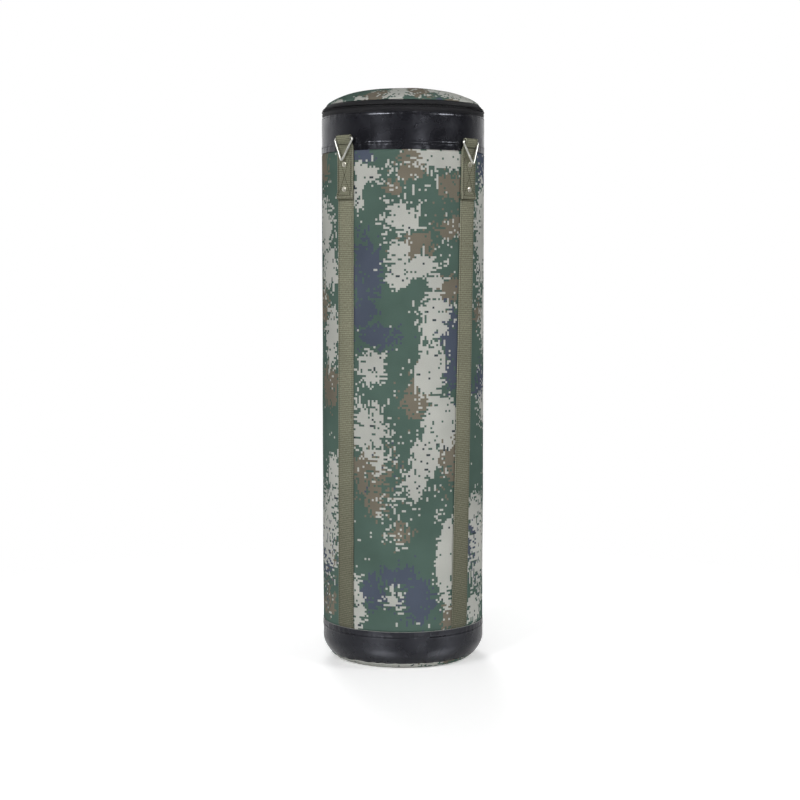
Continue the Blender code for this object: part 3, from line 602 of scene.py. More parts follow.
body_print = canvas_material("printed_canvas_body", LEVELS, WALL_LAYOUT)
lid_print = canvas_material("printed_canvas_lid", LEVELS, LID_LAYOUT)
base_print = canvas_material("printed_canvas_base", BASE_LEVELS)
print("print uses", len(body_print.node_tree.nodes), "nodes")

# %% [markdown]
# ## Leather, webbing, thread and metal
# The black ends are coated cloth with a fine leather grain: close-set pebbles with a satin coat, a little
# rougher where it has been rubbed. The webbing is thick olive yarn, so its colour changes from yarn to yarn
# and its ribs are real geometry. Thread, plated wire and nickel are small, but each catches the light in
# its own way, so each gets its own finish.


# %% Leather
def leather_material():
    graph = Graph("black_leather")
    flat = graph.flat()
    pebble = graph.add("TexVoronoi", {"Vector": flat, "Scale": 1 / 0.0013}, feature="SMOOTH_F1")
    relief = graph.math("MULTIPLY_ADD", graph.noise(flat, 0.009, 4.0, 0.6), 1.6, pebble)
    dents = graph.bump(graph.noise(flat, 0.012, 2.0), 0.0006, 0.5)
    normal = graph.bump(relief, 0.00022, 0.35, Normal=dents)
    rubbed = graph.rescale(graph.noise(flat, 0.045, 3.0), 0.35, 0.7)
    colour = graph.mix(rubbed, srgb(18, 18, 22), srgb(25, 25, 30))
    # A pale line along the cuff's cut edge: partly the paler raw edge of the coated cloth, partly a painted
    # highlight where the edge catches light from above.
    from_cut = abs(graph.parts(flat)[1] - (CUFF_TOP + 0.0002))
    cut_edge_and_highlight = graph.rescale(from_cut, 0.0006, 0.0010, 1.0, 0.0, smooth=True)
    colour = graph.mix(cut_edge_and_highlight, colour, srgb(128, 129, 126))
    roughness = graph.math("MULTIPLY_ADD", rubbed, 0.12, 0.22)
    return graph.finish(colour, roughness, normal, Specular_IOR_Level=0.62,
                        Specular_Tint=(0.86, 0.89, 1.0, 1.0))


# %% Webbing
RIB = 0.0034                 # pitch of the webbing's cross ribs
YARN = 0.0017
EDGE_STITCH = 0.0163         # from the strap's middle to its rows of edge stitches


def webbing_material():
    graph = Graph("olive_webbing")
    flat = graph.flat()
    across, along, _ = graph.parts(flat)
    height = graph.parts(graph.place())[2]
    weave = graph.math("SINE", across * (math.tau / YARN)) * graph.math("SINE", along * (math.tau / YARN))
    fleck = graph.noise(graph.vector("MULTIPLY", flat, (1.0, 0.35, 1.0)), 0.0016, 2.0)
    colour = graph.mix(graph.rescale(fleck, 0.3, 0.7), srgb(120, 120, 101), srgb(150, 150, 129))
    selvedge = graph.rescale(abs(across), 0.0160, 0.0178, smooth=True)
    colour = graph.mix(selvedge * 0.35, colour, srgb(168, 169, 150))
    # Painted light and shade on the ribs: the colour is lighter on each rib's crest and darker in the groove
    # between two.
    rib_light_and_shade = graph.rescale(graph.math("COSINE", along * (math.tau / RIB)), -1, 1, 1.12, 0.66)
    # Darker towards the bottom: partly painted shade for light that falls off towards the floor, partly the
    # webbing's own darker tone.
    low_shade_and_tone = graph.rescale(height, 0.02, 0.62, 0.57, 1.0, smooth=True)
    seam = graph.rescale(abs(abs(across) - EDGE_STITCH), 0.0004, 0.0013, 0.62, 1.0, smooth=True)
    # Painted shade: the doubled head, above the tail's end, is darker.
    head = graph.rescale(height, TAIL_END - 0.004, TAIL_END, 1.0, 0.91)
    # Painted shade carried by the strap's points: the dark crease, the ring's shadow and the shadow under the
    # fold.
    painted_shade = graph.add("Attribute", output="Fac", attribute_name="shade")
    tone = rib_light_and_shade * (low_shade_and_tone * seam * head * painted_shade) * graph.uneven(flat, 0.06, 3.0, 0.92, 1.06)
    return graph.finish(graph.scale(colour, tone), 0.88, graph.bump(weave + fleck, 0.00018, 0.6),
                        Specular_IOR_Level=0.1)


# %% Thread, metal, zip tape and padding
def thread_material(name, colour, roughness=0.7):
    graph = Graph(name)
    twist = graph.noise(graph.place(), 0.0006, 1.0)
    shade = graph.scale(colour[:3], graph.rescale(twist, 0.3, 0.7, 0.8, 1.2))
    return graph.finish(shade, roughness, graph.bump(twist, 0.0001, 0.6), Specular_IOR_Level=0.3)


def metal_material(name, colour, roughness, metallic=1.0):
    graph = Graph(name)
    cloud = graph.noise(graph.place(), 0.004, 3.0)
    tint = graph.scale(colour[:3], graph.rescale(cloud, 0.3, 0.7, 0.93, 1.03))
    rough = graph.math("MULTIPLY_ADD", graph.rescale(cloud, 0.35, 0.7), 0.05, roughness)
    return graph.finish(tint, rough, Metallic=metallic)


def tape_material():
    graph = Graph("zip_tape")
    across, along, _ = graph.parts(graph.flat())
    twill = graph.math("SINE", (across + along) * (math.tau / 0.0009))
    colour = graph.mix(graph.rescale(twill, -1, 1), srgb(17, 17, 20), srgb(27, 27, 31))
    return graph.finish(colour, 0.6, graph.bump(twill, 0.0001, 0.6), Specular_IOR_Level=0.25)


ZIP_SHADE_DROP, ZIP_SHADE_REACH = 0.012, 0.130     # where the foam is painted near-black, as shade in the zip's gap: below the shoulder, and from the axis


def padding_material(name, colour, size):
    """Lumpy foam or cuttings, painted near-black as shade where it shows through the gap between the two
    halves of the zip.
    """
    graph = Graph(name)
    lumps = graph.noise(graph.place(), size, 3.0)
    shade = graph.scale(colour[:3], graph.rescale(lumps, 0.3, 0.7, 0.85, 1.1))
    from_axis = graph.vector("LENGTH", graph.vector("MULTIPLY", graph.place(), (1.0, 1.0, 0.0)))
    # Painted shade: near-black where the foam shows through the narrow gap of the zip.
    zip_gap_shade = (graph.parts(graph.place())[2] > SHOULDER_HEIGHT - ZIP_SHADE_DROP) * (from_axis > ZIP_SHADE_REACH)
    colour = graph.mix(zip_gap_shade, shade, srgb(22, 22, 25))
    return graph.finish(colour, 0.92, graph.bump(lumps, size * 0.2, 0.5), Specular_IOR_Level=0.1)


leather = leather_material()
webbing = webbing_material()
black_thread = thread_material("black_thread", srgb(34, 34, 38), 0.5)
dark_thread = thread_material("dark_olive_thread", srgb(44, 42, 34))
strap_thread = thread_material("olive_thread", srgb(96, 96, 78))
plated_wire = metal_material("plated_wire", srgb(243, 243, 236), 0.33, 0.85)
nickel = metal_material("nickel_rivet", srgb(240, 236, 220), 0.30, 0.9)
black_metal = metal_material("black_zip_metal", srgb(52, 52, 56), 0.32)
tape = tape_material()
nylon = thread_material("black_nylon_coil", srgb(30, 30, 33), 0.35)
foam = padding_material("foam", srgb(196, 194, 180), 0.004)
textile = padding_material("textile_filling", srgb(150, 146, 140), 0.012)
print("materials:", len(bpy.data.materials))

# %% [markdown]
# ## Meshes from grids
# Covers, straps, wire and rivets are all sheets or tubes, so each is a grid of points: rows along the
# outline or path, columns round or across it. A grid keeps full control of every wrinkle, and it can
# carry the place of each point on the flat cloth, which the weave, the grain and the print need.


# %% Points round the bag
def unit(vectors):
    return vectors / np.linalg.norm(vectors, axis=-1, keepdims=True)


def around_axis(r, angle, z):
    """Points at a radius, an angle about the bag's axis and a height."""
    return np.stack(np.broadcast_arrays(r * np.cos(angle), r * np.sin(angle), z), -1)


def even_turn(count):
    return np.arange(count) * math.tau / count


# %% A mesh from a grid
def mesh_piece(name, mesh, material, sharp=60):
    """Tidies a mesh, shades it smooth and puts it in the scene."""
    bm = bmesh.new()
    bm.from_mesh(mesh)
    bmesh.ops.remove_doubles(bm, verts=bm.verts, dist=1e-6)
    bmesh.ops.recalc_face_normals(bm, faces=bm.faces)
    bm.to_mesh(mesh)
    bm.free()
    mesh.materials.clear()
    mesh.materials.append(material)
    mesh.shade_smooth()
    mesh.set_sharp_from_angle(angle=math.radians(sharp))
    return add_object(name, mesh)


def grid_piece(name, grid, material, flat=None, close=True, caps=False, sharp=60):
    """A mesh of quads from grid[row, column]. The last column joins the first, close does so for rows, and
    caps fills the first and last row. flat has one more column, and one more row where close is on."""
    rows, columns = grid.shape[:2]
    if flat is None:
        flat = np.zeros((rows + 1, columns + 1, 2))
    row = np.arange(rows if close else rows - 1)[:, None]
    column = np.arange(columns)[None, :]
    up, on = (row + 1) % rows, (column + 1) % columns
    row_start, up_start = row * columns, up * columns
    faces = np.stack([row_start + column, row_start + on, up_start + on, up_start + column], -1)
    corners = [flat[row, column], flat[row, column + 1], flat[row + 1, column + 1], flat[row + 1, column]]
    faces, corners = faces.reshape(-1, 4).tolist(), np.stack(corners, -2).reshape(-1, 2)
    if caps:
        first = list(range(columns))
        faces += [first[::-1], [(rows - 1) * columns + index for index in first]]
        corners = np.concatenate([corners, flat[0, :columns][::-1], flat[-1, :columns]])
    mesh = bpy.data.meshes.new(name)
    mesh.from_pydata(grid.reshape(-1, 3).tolist(), [], faces)
    mesh.uv_layers.new(name="flat").data.foreach_set("uv", corners.astype(np.float32).ravel())
    return mesh_piece(name, mesh, material, sharp)


def place_piece(piece, body, slot, *replaced):
    """The piece rides on a body and stands for these nodes, which are hidden. slot is not used."""
    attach(piece, body)
    if replaced:
        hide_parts(*replaced)
    return piece


# %% Uneven surfaces
RANDOM_TABLE = np.random.default_rng(7).random(4096) * 2 - 1
PRIMES = (7919, 104729, 1299709)


def rolling(x, y, z, size, seed=0):
    """Smooth random field from -1 to 1 with features about as large as size."""
    places = [np.asarray(value, float) / size + seed * 17.3 for value in np.broadcast_arrays(x, y, z)]
    cells = [np.floor(value).astype(np.int64) for value in places]
    parts = [ease(value - cell) for value, cell in zip(places, cells)]
    total = 0.0
    for corner in itertools.product((0, 1), repeat=3):
        weight = 1.0
        for part, step in zip(parts, corner):
            weight = weight * (part if step else 1 - part)
        code = sum((cell + step) * prime for cell, step, prime in zip(cells, corner, PRIMES))
        total = total + weight * RANDOM_TABLE[code % len(RANDOM_TABLE)]
    return total


def round_bag(angle, distance, size, seed):
    """The same field wrapped round the bag, so that it closes without a jump."""
    return rolling(RADIUS * np.cos(angle), RADIUS * np.sin(angle), distance, size, seed)


def bell(distance, width):
    """1 in the middle, falling smoothly to 0 within about two widths."""
    return np.exp(-(np.asarray(distance) / width) ** 2)


def ease(share):
    share = np.clip(share, 0.0, 1.0)
    return share * share * (3 - 2 * share)


# %% Stitches
STITCH = 0.0032
STITCH_LENGTH = STITCH * 0.86
STITCH_SIDES = 6
STITCH_RINGS = ((-0.5, 0.45, -0.55), (-0.3, 0.95, 0.05), (0.0, 1.0, 0.3), (0.3, 0.95, 0.05),
                (0.5, 0.45, -0.55))


def stitches(name, rows, thread, material):
    """Short raised stitches. Each row is (points, outward directions), with a stitch on every step.
    The rings of one stitch say how far along it they lie, how wide they are and how high they stand."""
    turn = even_turn(STITCH_SIDES)[:, None]
    clouds = []
    for points, outward in rows:
        middle = (points[1:] + points[:-1])[:, None] / 2
        along = unit(points[1:] - points[:-1])[:, None]
        side = unit(np.cross(along, (outward[1:] + outward[:-1])[:, None] / 2))
        up = np.cross(side, along)
        arms = side * np.cos(turn) + up * np.sin(turn)
        rings = [middle + along * (t * STITCH_LENGTH) + up * (lift * thread) + arms * (width * thread / 2)
                 for t, width, lift in STITCH_RINGS]
        clouds.append(np.stack(rings, 1).reshape(-1, 3))
    cloud = np.concatenate(clouds)
    size = len(STITCH_RINGS) * STITCH_SIDES
    low = np.arange(size - STITCH_SIDES)
    on = low // STITCH_SIDES * STITCH_SIDES + (low + 1) % STITCH_SIDES
    walls = np.stack([low, on, on + STITCH_SIDES, low + STITCH_SIDES], -1)
    ends = np.array([range(STITCH_SIDES)[::-1], range(size - STITCH_SIDES, size)])
    starts = np.arange(0, len(cloud), size)[:, None, None]
    faces = (walls + starts).reshape(-1, 4).tolist() + (ends + starts).reshape(-1, STITCH_SIDES).tolist()
    mesh = bpy.data.meshes.new(name)
    mesh.from_pydata(cloud.tolist(), [], faces)
    print(name, "has", len(starts), "stitches")
    return mesh_piece(name, mesh, material, 80)


# %% [markdown]
# ## Sewn covers
# A cover is a stretch of the outline turned round the bag. It could be a spun curve with a Solidify
# modifier, but then every part of it would be equally smooth. Here each cover is a fine grid that is
# pushed in and out by a relief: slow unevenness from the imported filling, puckers that radiate from a seam,
# and a groove where a row of stitches pulls the material down. The second face follows at the cloth's
# thickness, so the cover is a closed shell with real edges.


# %% One function for every cover
def cover(name, points, steps, columns, thickness, material, relief, disc=None):
    """A turned shell. points are (distance, depth) of its outer face and steps the spacing between them.
    disc is "lid" or "base" where the cover is cut as a disc, with flat places measured from its middle."""
    stations = [points[0]]
    for (s0, d0), (s1, d1), step in zip(points, points[1:], steps):
        count = max(1, math.ceil((s1 - s0) / step))
        shares = [k / count for k in range(1, count + 1)]
        stations += [(s0 + (s1 - s0) * share, d0 + (d1 - d0) * ease(share)) for share in shares]
    distance, depth = np.array(stations).T[:, :, None]
    turn = np.arange(columns + 1) * math.tau / columns
    angle = (CANVAS_SEAM + turn)[None, :]
    out = relief(distance, angle) - depth
    if disc:
        ring = LINE_LENGTH - distance if disc == "lid" else distance
        flat = around_axis(ring, angle, 0.0)[..., :2]
    else:
        along = distance - SHOULDER + SHOULDER_HEIGHT
        flat = np.stack(np.broadcast_arrays(turn[None, :] * RADIUS, along), -1)
    layers = [(0, slice(None)), (0.5, slice(-1, None)), (1, slice(None, None, -1)), (0.5, slice(0, 1))]
    if disc:
        layers.pop(1 if disc == "lid" else 3)     # the edge in the middle of a disc
    faces = []
    for share, order in layers:
        r, z = on_outline(distance, out - share * thickness)
        faces.append(around_axis(r, angle, z)[order])
    flats = [flat[order] for _, order in layers]
    return grid_piece(name, np.concatenate(faces)[:, :-1], material, np.concatenate(flats + [flats[0][:1]]))


# %% Body canvas
SEAM_OVERLAP = 0.018         # of a strip that is sewn into a tube
CUT_ROUND = math.tau * RADIUS + SEAM_OVERLAP
UNDER_LEATHER = LEATHER + GAP


def dress(piece, slot, node, wide, long, area=None):
    """A cover that takes the place of its solid. wide, long and area, the size of the sheet it was cut from,
    are not used.
    """
    place_piece(piece, "bag", slot, node)
    print(piece.name, "has", len(piece.data.polygons), "faces")


def closing_seam(angle):
    """The groove and the low ridges where a strip of the cover is sewn into a tube, at the back."""
    away = ((angle - CANVAS_SEAM + math.pi) % math.tau - math.pi) * RADIUS
    return 0.00025 * bell(away, 0.012) - 0.00075 * bell(away, 0.0015)


def canvas_relief(distance, angle):
    slow = round_bag(angle, distance * 0.6, 0.075, 1) + 0.5 * round_bag(angle, distance, 0.035, 2)
    seams = bell(distance - COLLAR_EDGE, 0.022) + bell(distance - CUFF_EDGE, 0.020)
    pucker = np.minimum(round_bag(angle, distance * 0.25, 0.011, 3) * seams, 0.5)
    seam_pucker = round_bag(angle, distance, 0.012, 19) * bell(angle - CANVAS_SEAM, 0.10)
    return -0.0007 + 0.00040 * slow + 0.00045 * pucker + 0.00030 * seam_pucker + closing_seam(angle)


canvas_points = [
    (CUFF_EDGE - SEAM_ALLOWANCE, UNDER_LEATHER), (CUFF_EDGE + GAP, UNDER_LEATHER), (CUFF_EDGE + TUCK, 0.0),
    (COLLAR_EDGE - TUCK, 0.0), (COLLAR_EDGE - GAP, UNDER_LEATHER),
    (COLLAR_EDGE + SEAM_ALLOWANCE, UNDER_LEATHER),
]
canvas = cover("canvas_tube", canvas_points, (0.006, 0.001, 0.0075, 0.001, 0.006), 340, CANVAS, body_print,
               canvas_relief)
dress(canvas, "printed_canvas", "body_canvas", CUT_ROUND, COLLAR_EDGE - CUFF_EDGE + 2 * SEAM_ALLOWANCE)


# %% Collar and cuff
STITCHES_ROUND = round(math.tau * RADIUS / STITCH)
LEATHER_COLUMNS = STITCHES_ROUND * 3
TOPSTITCH = 0.0100           # from a leather edge to its row of stitches
HEM = 0.0145                 # from a leather edge to the end of the hem folded in behind it
HEM_STEP = 0.003             # the fine grid runs on this far past the hem
SHOULDER_ROW = 0.0026        # from the shoulder seam to its row of stitches
LOWER_SEAM = BASE_SEAM - 0.0015
SETTLE = 0.00062             # how far the seams draw the leather in


def tug(angle):
    """Near 1 at each stitch of a row round the bag, and near 0 between two."""
    return 0.5 + 0.5 * np.cos(angle * STITCHES_ROUND)


def seam_relief(away, angle, seed, depth):
    """What sewing does to leather near an edge: a groove under the stitches, puckers and a hem's step."""
    groove = -depth * (0.6 + 0.4 * tug(angle)) * bell(away - TOPSTITCH, 0.0014)
    pucker = round_bag(angle, away * 0.35, 0.0065, seed) * bell(away - TOPSTITCH * 0.75, 0.0065)
    hem = 0.00035 * ease((HEM - away) / 0.0022)
    return groove + 0.00060 * np.minimum(pucker, 0.5) + hem - SETTLE


def collar_relief(distance, angle):
    slow = round_bag(angle, distance, 0.045, 4) + 0.6 * round_bag(angle, distance * 1.3, 0.019, 5)
    low = seam_relief(distance - COLLAR_EDGE, angle, 6, 0.00030)
    pucker = round_bag(angle, (SHOULDER - distance) * 0.35, 0.0070, 7) * bell(distance - SHOULDER, 0.008)
    row = -0.00020 * (1 + tug(angle)) * bell(distance - SHOULDER + SHOULDER_ROW, 0.0012)
    roll = -0.0006 * ease((distance - SHOULDER + 0.005) / 0.005)
    return 0.00034 * slow + low + 0.00055 * np.minimum(pucker, 0.5) + row + roll + closing_seam(angle)


def cuff_relief(distance, angle):
    slow = round_bag(angle, distance, 0.050, 8) + 0.5 * round_bag(angle, distance * 1.3, 0.020, 9)
    high = seam_relief(CUFF_EDGE - distance, angle, 10, 0.00055)
    gather = round_bag(angle, 0.0, 0.010, 11) * bell(distance - LOWER_SEAM, 0.009)
    return 0.00035 * slow + high + 0.0009 * gather + closing_seam(angle)


collar_points = [(COLLAR_EDGE, 0.0), (COLLAR_EDGE + HEM + HEM_STEP, 0.0), (SHOULDER - 0.009, 0.0),
                 (SHOULDER, 0.0)]
collar = cover("leather_collar", collar_points, (0.0008, 0.0024, 0.0008), LEATHER_COLUMNS, LEATHER, leather,
               collar_relief)
dress(collar, "black_leather", "top_collar", CUT_ROUND, SHOULDER - COLLAR_EDGE + HEM)

cuff_points = [(LOWER_SEAM, 0.0), (LOWER_SEAM + 0.010, 0.0), (CUFF_EDGE - HEM - HEM_STEP, 0.0),
               (CUFF_EDGE, 0.0)]
cuff = cover("leather_cuff", cuff_points, (0.0011, 0.0026, 0.0008), LEATHER_COLUMNS, LEATHER, leather,
             cuff_relief)
dress(cuff, "black_leather", "bottom_cuff", CUT_ROUND, CUFF_EDGE - LOWER_SEAM + HEM)

# %% Rows of stitches on the covers
THREAD = 0.00055
ROW_LIFT, SEAM_LIFT, PATCH_LIFT = 0.00012, 0.00015, 0.0001    # of a row of stitches off its cover
SEAM_ROW = 0.0042            # from the closing seam to the row of stitches on each side
LIFT_STEP = 0.001            # the way off a surface is measured over this rise
SEAM_ENDS = 0.004            # those rows stop this far from collar and cuff


def sewn_row(relief, distance, angle, lift):
    """Stitch points on top of a cover's relief, with the directions that point off it."""
    distance, angle = np.broadcast_arrays(distance, angle)
    rise = relief(distance, angle) + lift
    (r, z), (r0, z0) = on_outline(distance, rise), on_outline(distance, rise - LIFT_STEP)
    points = around_axis(r, angle, z)
    return points, unit(points - around_axis(r0, angle, z0))


every_stitch = CANVAS_SEAM + (np.arange(STITCHES_ROUND + 1) + 0.5) * math.tau / STITCHES_ROUND
rings = ((COLLAR_EDGE + TOPSTITCH, collar_relief), (SHOULDER - SHOULDER_ROW, collar_relief),
         (CUFF_EDGE - TOPSTITCH, cuff_relief))
rows = [sewn_row(relief, distance, every_stitch, ROW_LIFT) for distance, relief in rings]
place_piece(stitches("leather_topstitch", rows, THREAD, black_thread), "bag", "black_leather")

low, high = CUFF_EDGE + SEAM_ENDS, COLLAR_EDGE - SEAM_ENDS
upward = np.linspace(low, high, round((high - low) / STITCH) + 1)
rows = [sewn_row(canvas_relief, upward, CANVAS_SEAM + side * SEAM_ROW / RADIUS, SEAM_LIFT)
        for side in (-1, 1)]
place_piece(stitches("canvas_seam_stitches", rows, THREAD, strap_thread), "bag", "printed_canvas")

# %% [markdown]
# ## Lid and base
# The lid is a disc of canvas pulled over a dome of foam, and its rim is sewn to the upper zip tape. The base
# is the same cloth, gathered into the cuff, so only a ragged pale line of it shows. Both are cut flat and
# have no seam, so their print is laid on them like a disc and not wrapped round.

# %% Lid and base panels
TAPE_SHOW = 0.0095
COIL_WIDTH, COIL, CHAIN_GAP = 0.0026, 0.0012, 0.0016
CHAIN_START = SHOULDER + TAPE_SHOW
UPPER_COIL = CHAIN_START + COIL_WIDTH + CHAIN_GAP
CHAIN_END = UPPER_COIL + COIL_WIDTH
CHAIN_MIDDLE = (CHAIN_START + CHAIN_END) / 2
LID_EDGE = CHAIN_END + TAPE_SHOW


def lid_relief(distance, angle):
    ring = LINE_LENGTH - distance
    x, y = ring * np.cos(angle), ring * np.sin(angle)
    slow = rolling(x, y, 0.0, 0.06, 12) + 0.5 * rolling(x, y, 0.0, 0.024, 13)
    rim = round_bag(angle, ring * 0.3, 0.010, 14) * bell(distance - LID_EDGE, 0.011)
    dip = -0.0007 * ease((LID_EDGE + 0.006 - distance) / 0.006)
    return 0.0007 * slow + 0.0006 * rim - 0.0004 + dip


def base_relief(distance, angle):
    gather = 0.0008 * round_bag(angle, distance * 0.2, 0.0062, 15) + 0.0007 * round_bag(angle, 0.0, 0.010, 11)
    return ease((distance - (LOWER_SEAM - 0.016)) / 0.014) * (gather - 0.0003)


lid_points = [(LID_EDGE, 0.0), (LID_EDGE + 0.012, 0.0), (LINE_LENGTH, 0.0)]
lid = cover("canvas_lid", lid_points, (0.0012, 0.004), 480, CANVAS, lid_print, lid_relief, disc="lid")
lid_cut = LINE_LENGTH - LID_EDGE + SEAM_ALLOWANCE
dress(lid, "printed_canvas", "lid_panel", 2 * lid_cut, 2 * lid_cut, area=math.pi * lid_cut ** 2)

base_cut = LOWER_SEAM + SEAM_ALLOWANCE
base_points = [(0.0, 0.0), (LOWER_SEAM - 0.018, 0.0), (LOWER_SEAM - 0.001, 0.0),
               (LOWER_SEAM + 0.002, UNDER_LEATHER), (base_cut, UNDER_LEATHER)]
base = cover("canvas_base", base_points, (0.012, 0.0015, 0.0007, 0.003), 540, CANVAS, base_print, base_relief,
             disc="base")
dress(base, "printed_canvas", "base_panel", 2 * base_cut, 2 * base_cut,
      area=math.pi * base_cut ** 2)


# %% [markdown]
# ## Hanging straps
# Each strap is one length of ribbed webbing, 38 mm wide. It comes up from under the cuff, turns over the
# ring's bar, comes down in front of itself and ends in a folded tail. It is drawn as a line in the plane
# that stands square to the bag, and a flat section with round edges is swept along it. The ribs are part
# of the sweep: every row is a little thicker or thinner than the last.

# %% Where each strap stands
WEBBING_WIDTH, WEBBING = 0.038, 0.0016
HALF_WEBBING = WEBBING_WIDTH / 2
BACK_LAYER = GAP + WEBBING / 2
FRONT_LAYER = BACK_LAYER + WEBBING + GAP
TAIL_LAYER = FRONT_LAYER + WEBBING + GAP
RING_WIRE, LOOP_PLAY = 0.0035, 0.0004
LOOP_RADIUS = RING_WIRE / 2 + LOOP_PLAY + WEBBING / 2
LOOP_SLACK = 0.0020
LOOP_GATHER = 0.0021
LOOP_CREASE = 0.0108         # the loop closes this far below the bar
FLATTEN_LENGTH = 0.009
STRAP_TUCK, STRAP_RISE = 0.010, 0.006


def beside(angle, out, across):
    """Points in plan: out from the axis at an angle, then across, square to that."""
    cosine, sine = np.cos(angle), np.sin(angle)
    return np.stack([out * cosine - across * sine, out * sine + across * cosine], -1)


class Strap:
    """One strap: azimuth and height of its ring's bar, and how its foot leans, all read from the frame."""

    def __init__(self, side):
        self.side = side
        joint = next(joint for joint in frame["joints"] if joint["name"] == f"ring_{side}_swing")
        x, y, self.bar = joint["pos_m"]
        self.azimuth = math.atan2(y, x)
        self.bar_offset = math.hypot(x, y) - RADIUS
        points = [vertex.co for vertex in frame["nodes"][f"hanging_strap_{side}"].data.vertices]
        foot = [point for point in points if point.z < CUFF_TOP - 0.002]
        centre = sum(foot, Vector()) / len(foot)
        lean = math.atan2(centre.y, centre.x) - self.azimuth
        self.lean = (lean + math.pi) % math.tau - math.pi
        self.loop_low = self.bar - LOOP_CREASE

    def angle(self, height):
        """Azimuth of the strap's middle: it leans evenly from its loop to its foot."""
        share = (self.loop_low - height) / (self.loop_low - CUFF_TOP)
        return self.azimuth + self.lean * np.clip(share, 0.0, 1.0)

    def place(self, across, offset, height):
        """A point of the strap: curved round the bag below the loop, flat across at the loop."""
        across, offset, height = np.broadcast_arrays(across, offset, height)
        flat = ease((height - (self.loop_low - FLATTEN_LENGTH)) / FLATTEN_LENGTH)[..., None]
        middle, out = self.angle(height), RADIUS + offset
        curved = beside(middle + across / RADIUS, out, 0.0)
        straight = beside(middle, out, across)
        return np.concatenate([curved + (straight - curved) * flat, height[..., None]], -1)


STRAPS = [Strap(side) for side in ("front", "right", "back", "left")]
for strap in STRAPS:
    azimuth, lean = math.degrees(strap.azimuth), math.degrees(strap.lean)
    print(strap.side, "azimuth", round(azimuth, 1), "lean", round(lean, 1))


# %% The line that the webbing follows
FOLD_RISE = 0.0145           # the tail lifts over its fold this far above its end
FOLD_LENGTH = 0.006
TAIL_TUCK = 0.0075


def arc(centre, radius, start, end, steps):
    angles = np.linspace(start, end, steps + 1)
    return np.array(centre) + radius * np.stack([np.cos(angles), np.sin(angles)], -1)


def s_line(start, end, steps):
    share = np.linspace(0, 1, steps + 1)
    return np.array(start) + np.subtract(end, start) * np.stack([ease(share), share], -1)


def strap_line(strap):
    """Middle line of the webbing, foot to tail, as (offset beyond the wall, height)."""
    foot = -(LEATHER + GAP * 2 + WEBBING / 2)
    bar, bar_offset, low = strap.bar, strap.bar_offset, strap.loop_low
    fold = (TAIL_LAYER - FRONT_LAYER) / 2
    ramp_top = TAIL_END + FOLD_RISE
    line = np.concatenate([
        [(foot, CUFF_TOP - STRAP_TUCK)],
        s_line((foot, CUFF_TOP - 0.001), (BACK_LAYER, CUFF_TOP + STRAP_RISE), 8),
        s_line((BACK_LAYER, low - 0.002), (bar_offset - LOOP_RADIUS, bar), 10),
        arc((bar_offset, bar + LOOP_SLACK), LOOP_RADIUS, math.pi, 0.0, 16),
        s_line((bar_offset + LOOP_RADIUS, bar), (FRONT_LAYER, low), 14),
        s_line((FRONT_LAYER, ramp_top), (TAIL_LAYER, ramp_top - FOLD_LENGTH), 6),
        arc((FRONT_LAYER + fold, TAIL_END + WEBBING / 2 + fold), fold, 0.0, -math.pi, 8),
        [(FRONT_LAYER, TAIL_END + WEBBING / 2 + TAIL_TUCK)],
    ])
    length = run_length(line)
    spaced = np.linspace(0, length[-1], math.ceil(length[-1] / (RIB / 4)))
    return np.stack([np.interp(spaced, length, values) for values in line.T], -1), spaced


# %% Sweep the webbing
HALF_LANES = np.array([0, 0.2, 0.4, 0.6, 0.80, 0.855, 0.90, 0.965, 1])
SECTION_LANES = np.concatenate([-HALF_LANES[:0:-1], HALF_LANES])     # across the strap, from edge to edge


def strap_section(spaced, heights):
    """Across and thickness of the section for every row: ribs, selvedges and grooves under the stitches."""
    lanes = SECTION_LANES * HALF_WEBBING
    selvedge = bell(np.abs(lanes) - HALF_WEBBING * 0.945, 0.0012)
    groove = bell(np.abs(lanes) - EDGE_STITCH, 0.0007)
    rib = 0.5 - 0.5 * np.cos(spaced[:, None] * math.tau / RIB)
    sewn = ease((TAIL_END - 0.004 - heights[:, None]) / 0.004)
    thick = WEBBING / 2 * (0.80 + 0.20 * rib * (1 - selvedge) + 0.22 * selvedge) - 0.00022 * groove * sewn
    return lanes, thick * np.where(np.abs(SECTION_LANES) > 0.99, 0.35, 1.0)


def strap_shade(strap, line):
    """The crease under the loop, and painted shade along the webbing's line: a dark crease under the loop,
    the ring's shadow inside it and the shadow under the folded tail.
    """
    height = line[:, 1]
    front = np.arange(len(line)) > np.argmax(height)
    crease = bell(height - strap.loop_low, 0.0012) * front
    inside_ring = ease((strap.loop_low + 0.001 - height) / 0.002) * ease((height - strap.bar + 0.040) / 0.016)
    under_fold = ease((height - TAIL_END + 0.0055) / 0.004) * ease((TAIL_END + 0.010 - height) / 0.004)
    return crease, (1 - 0.74 * crease) * (1 - 0.20 * inside_ring * front) * (1 - 0.50 * under_fold * ~front)


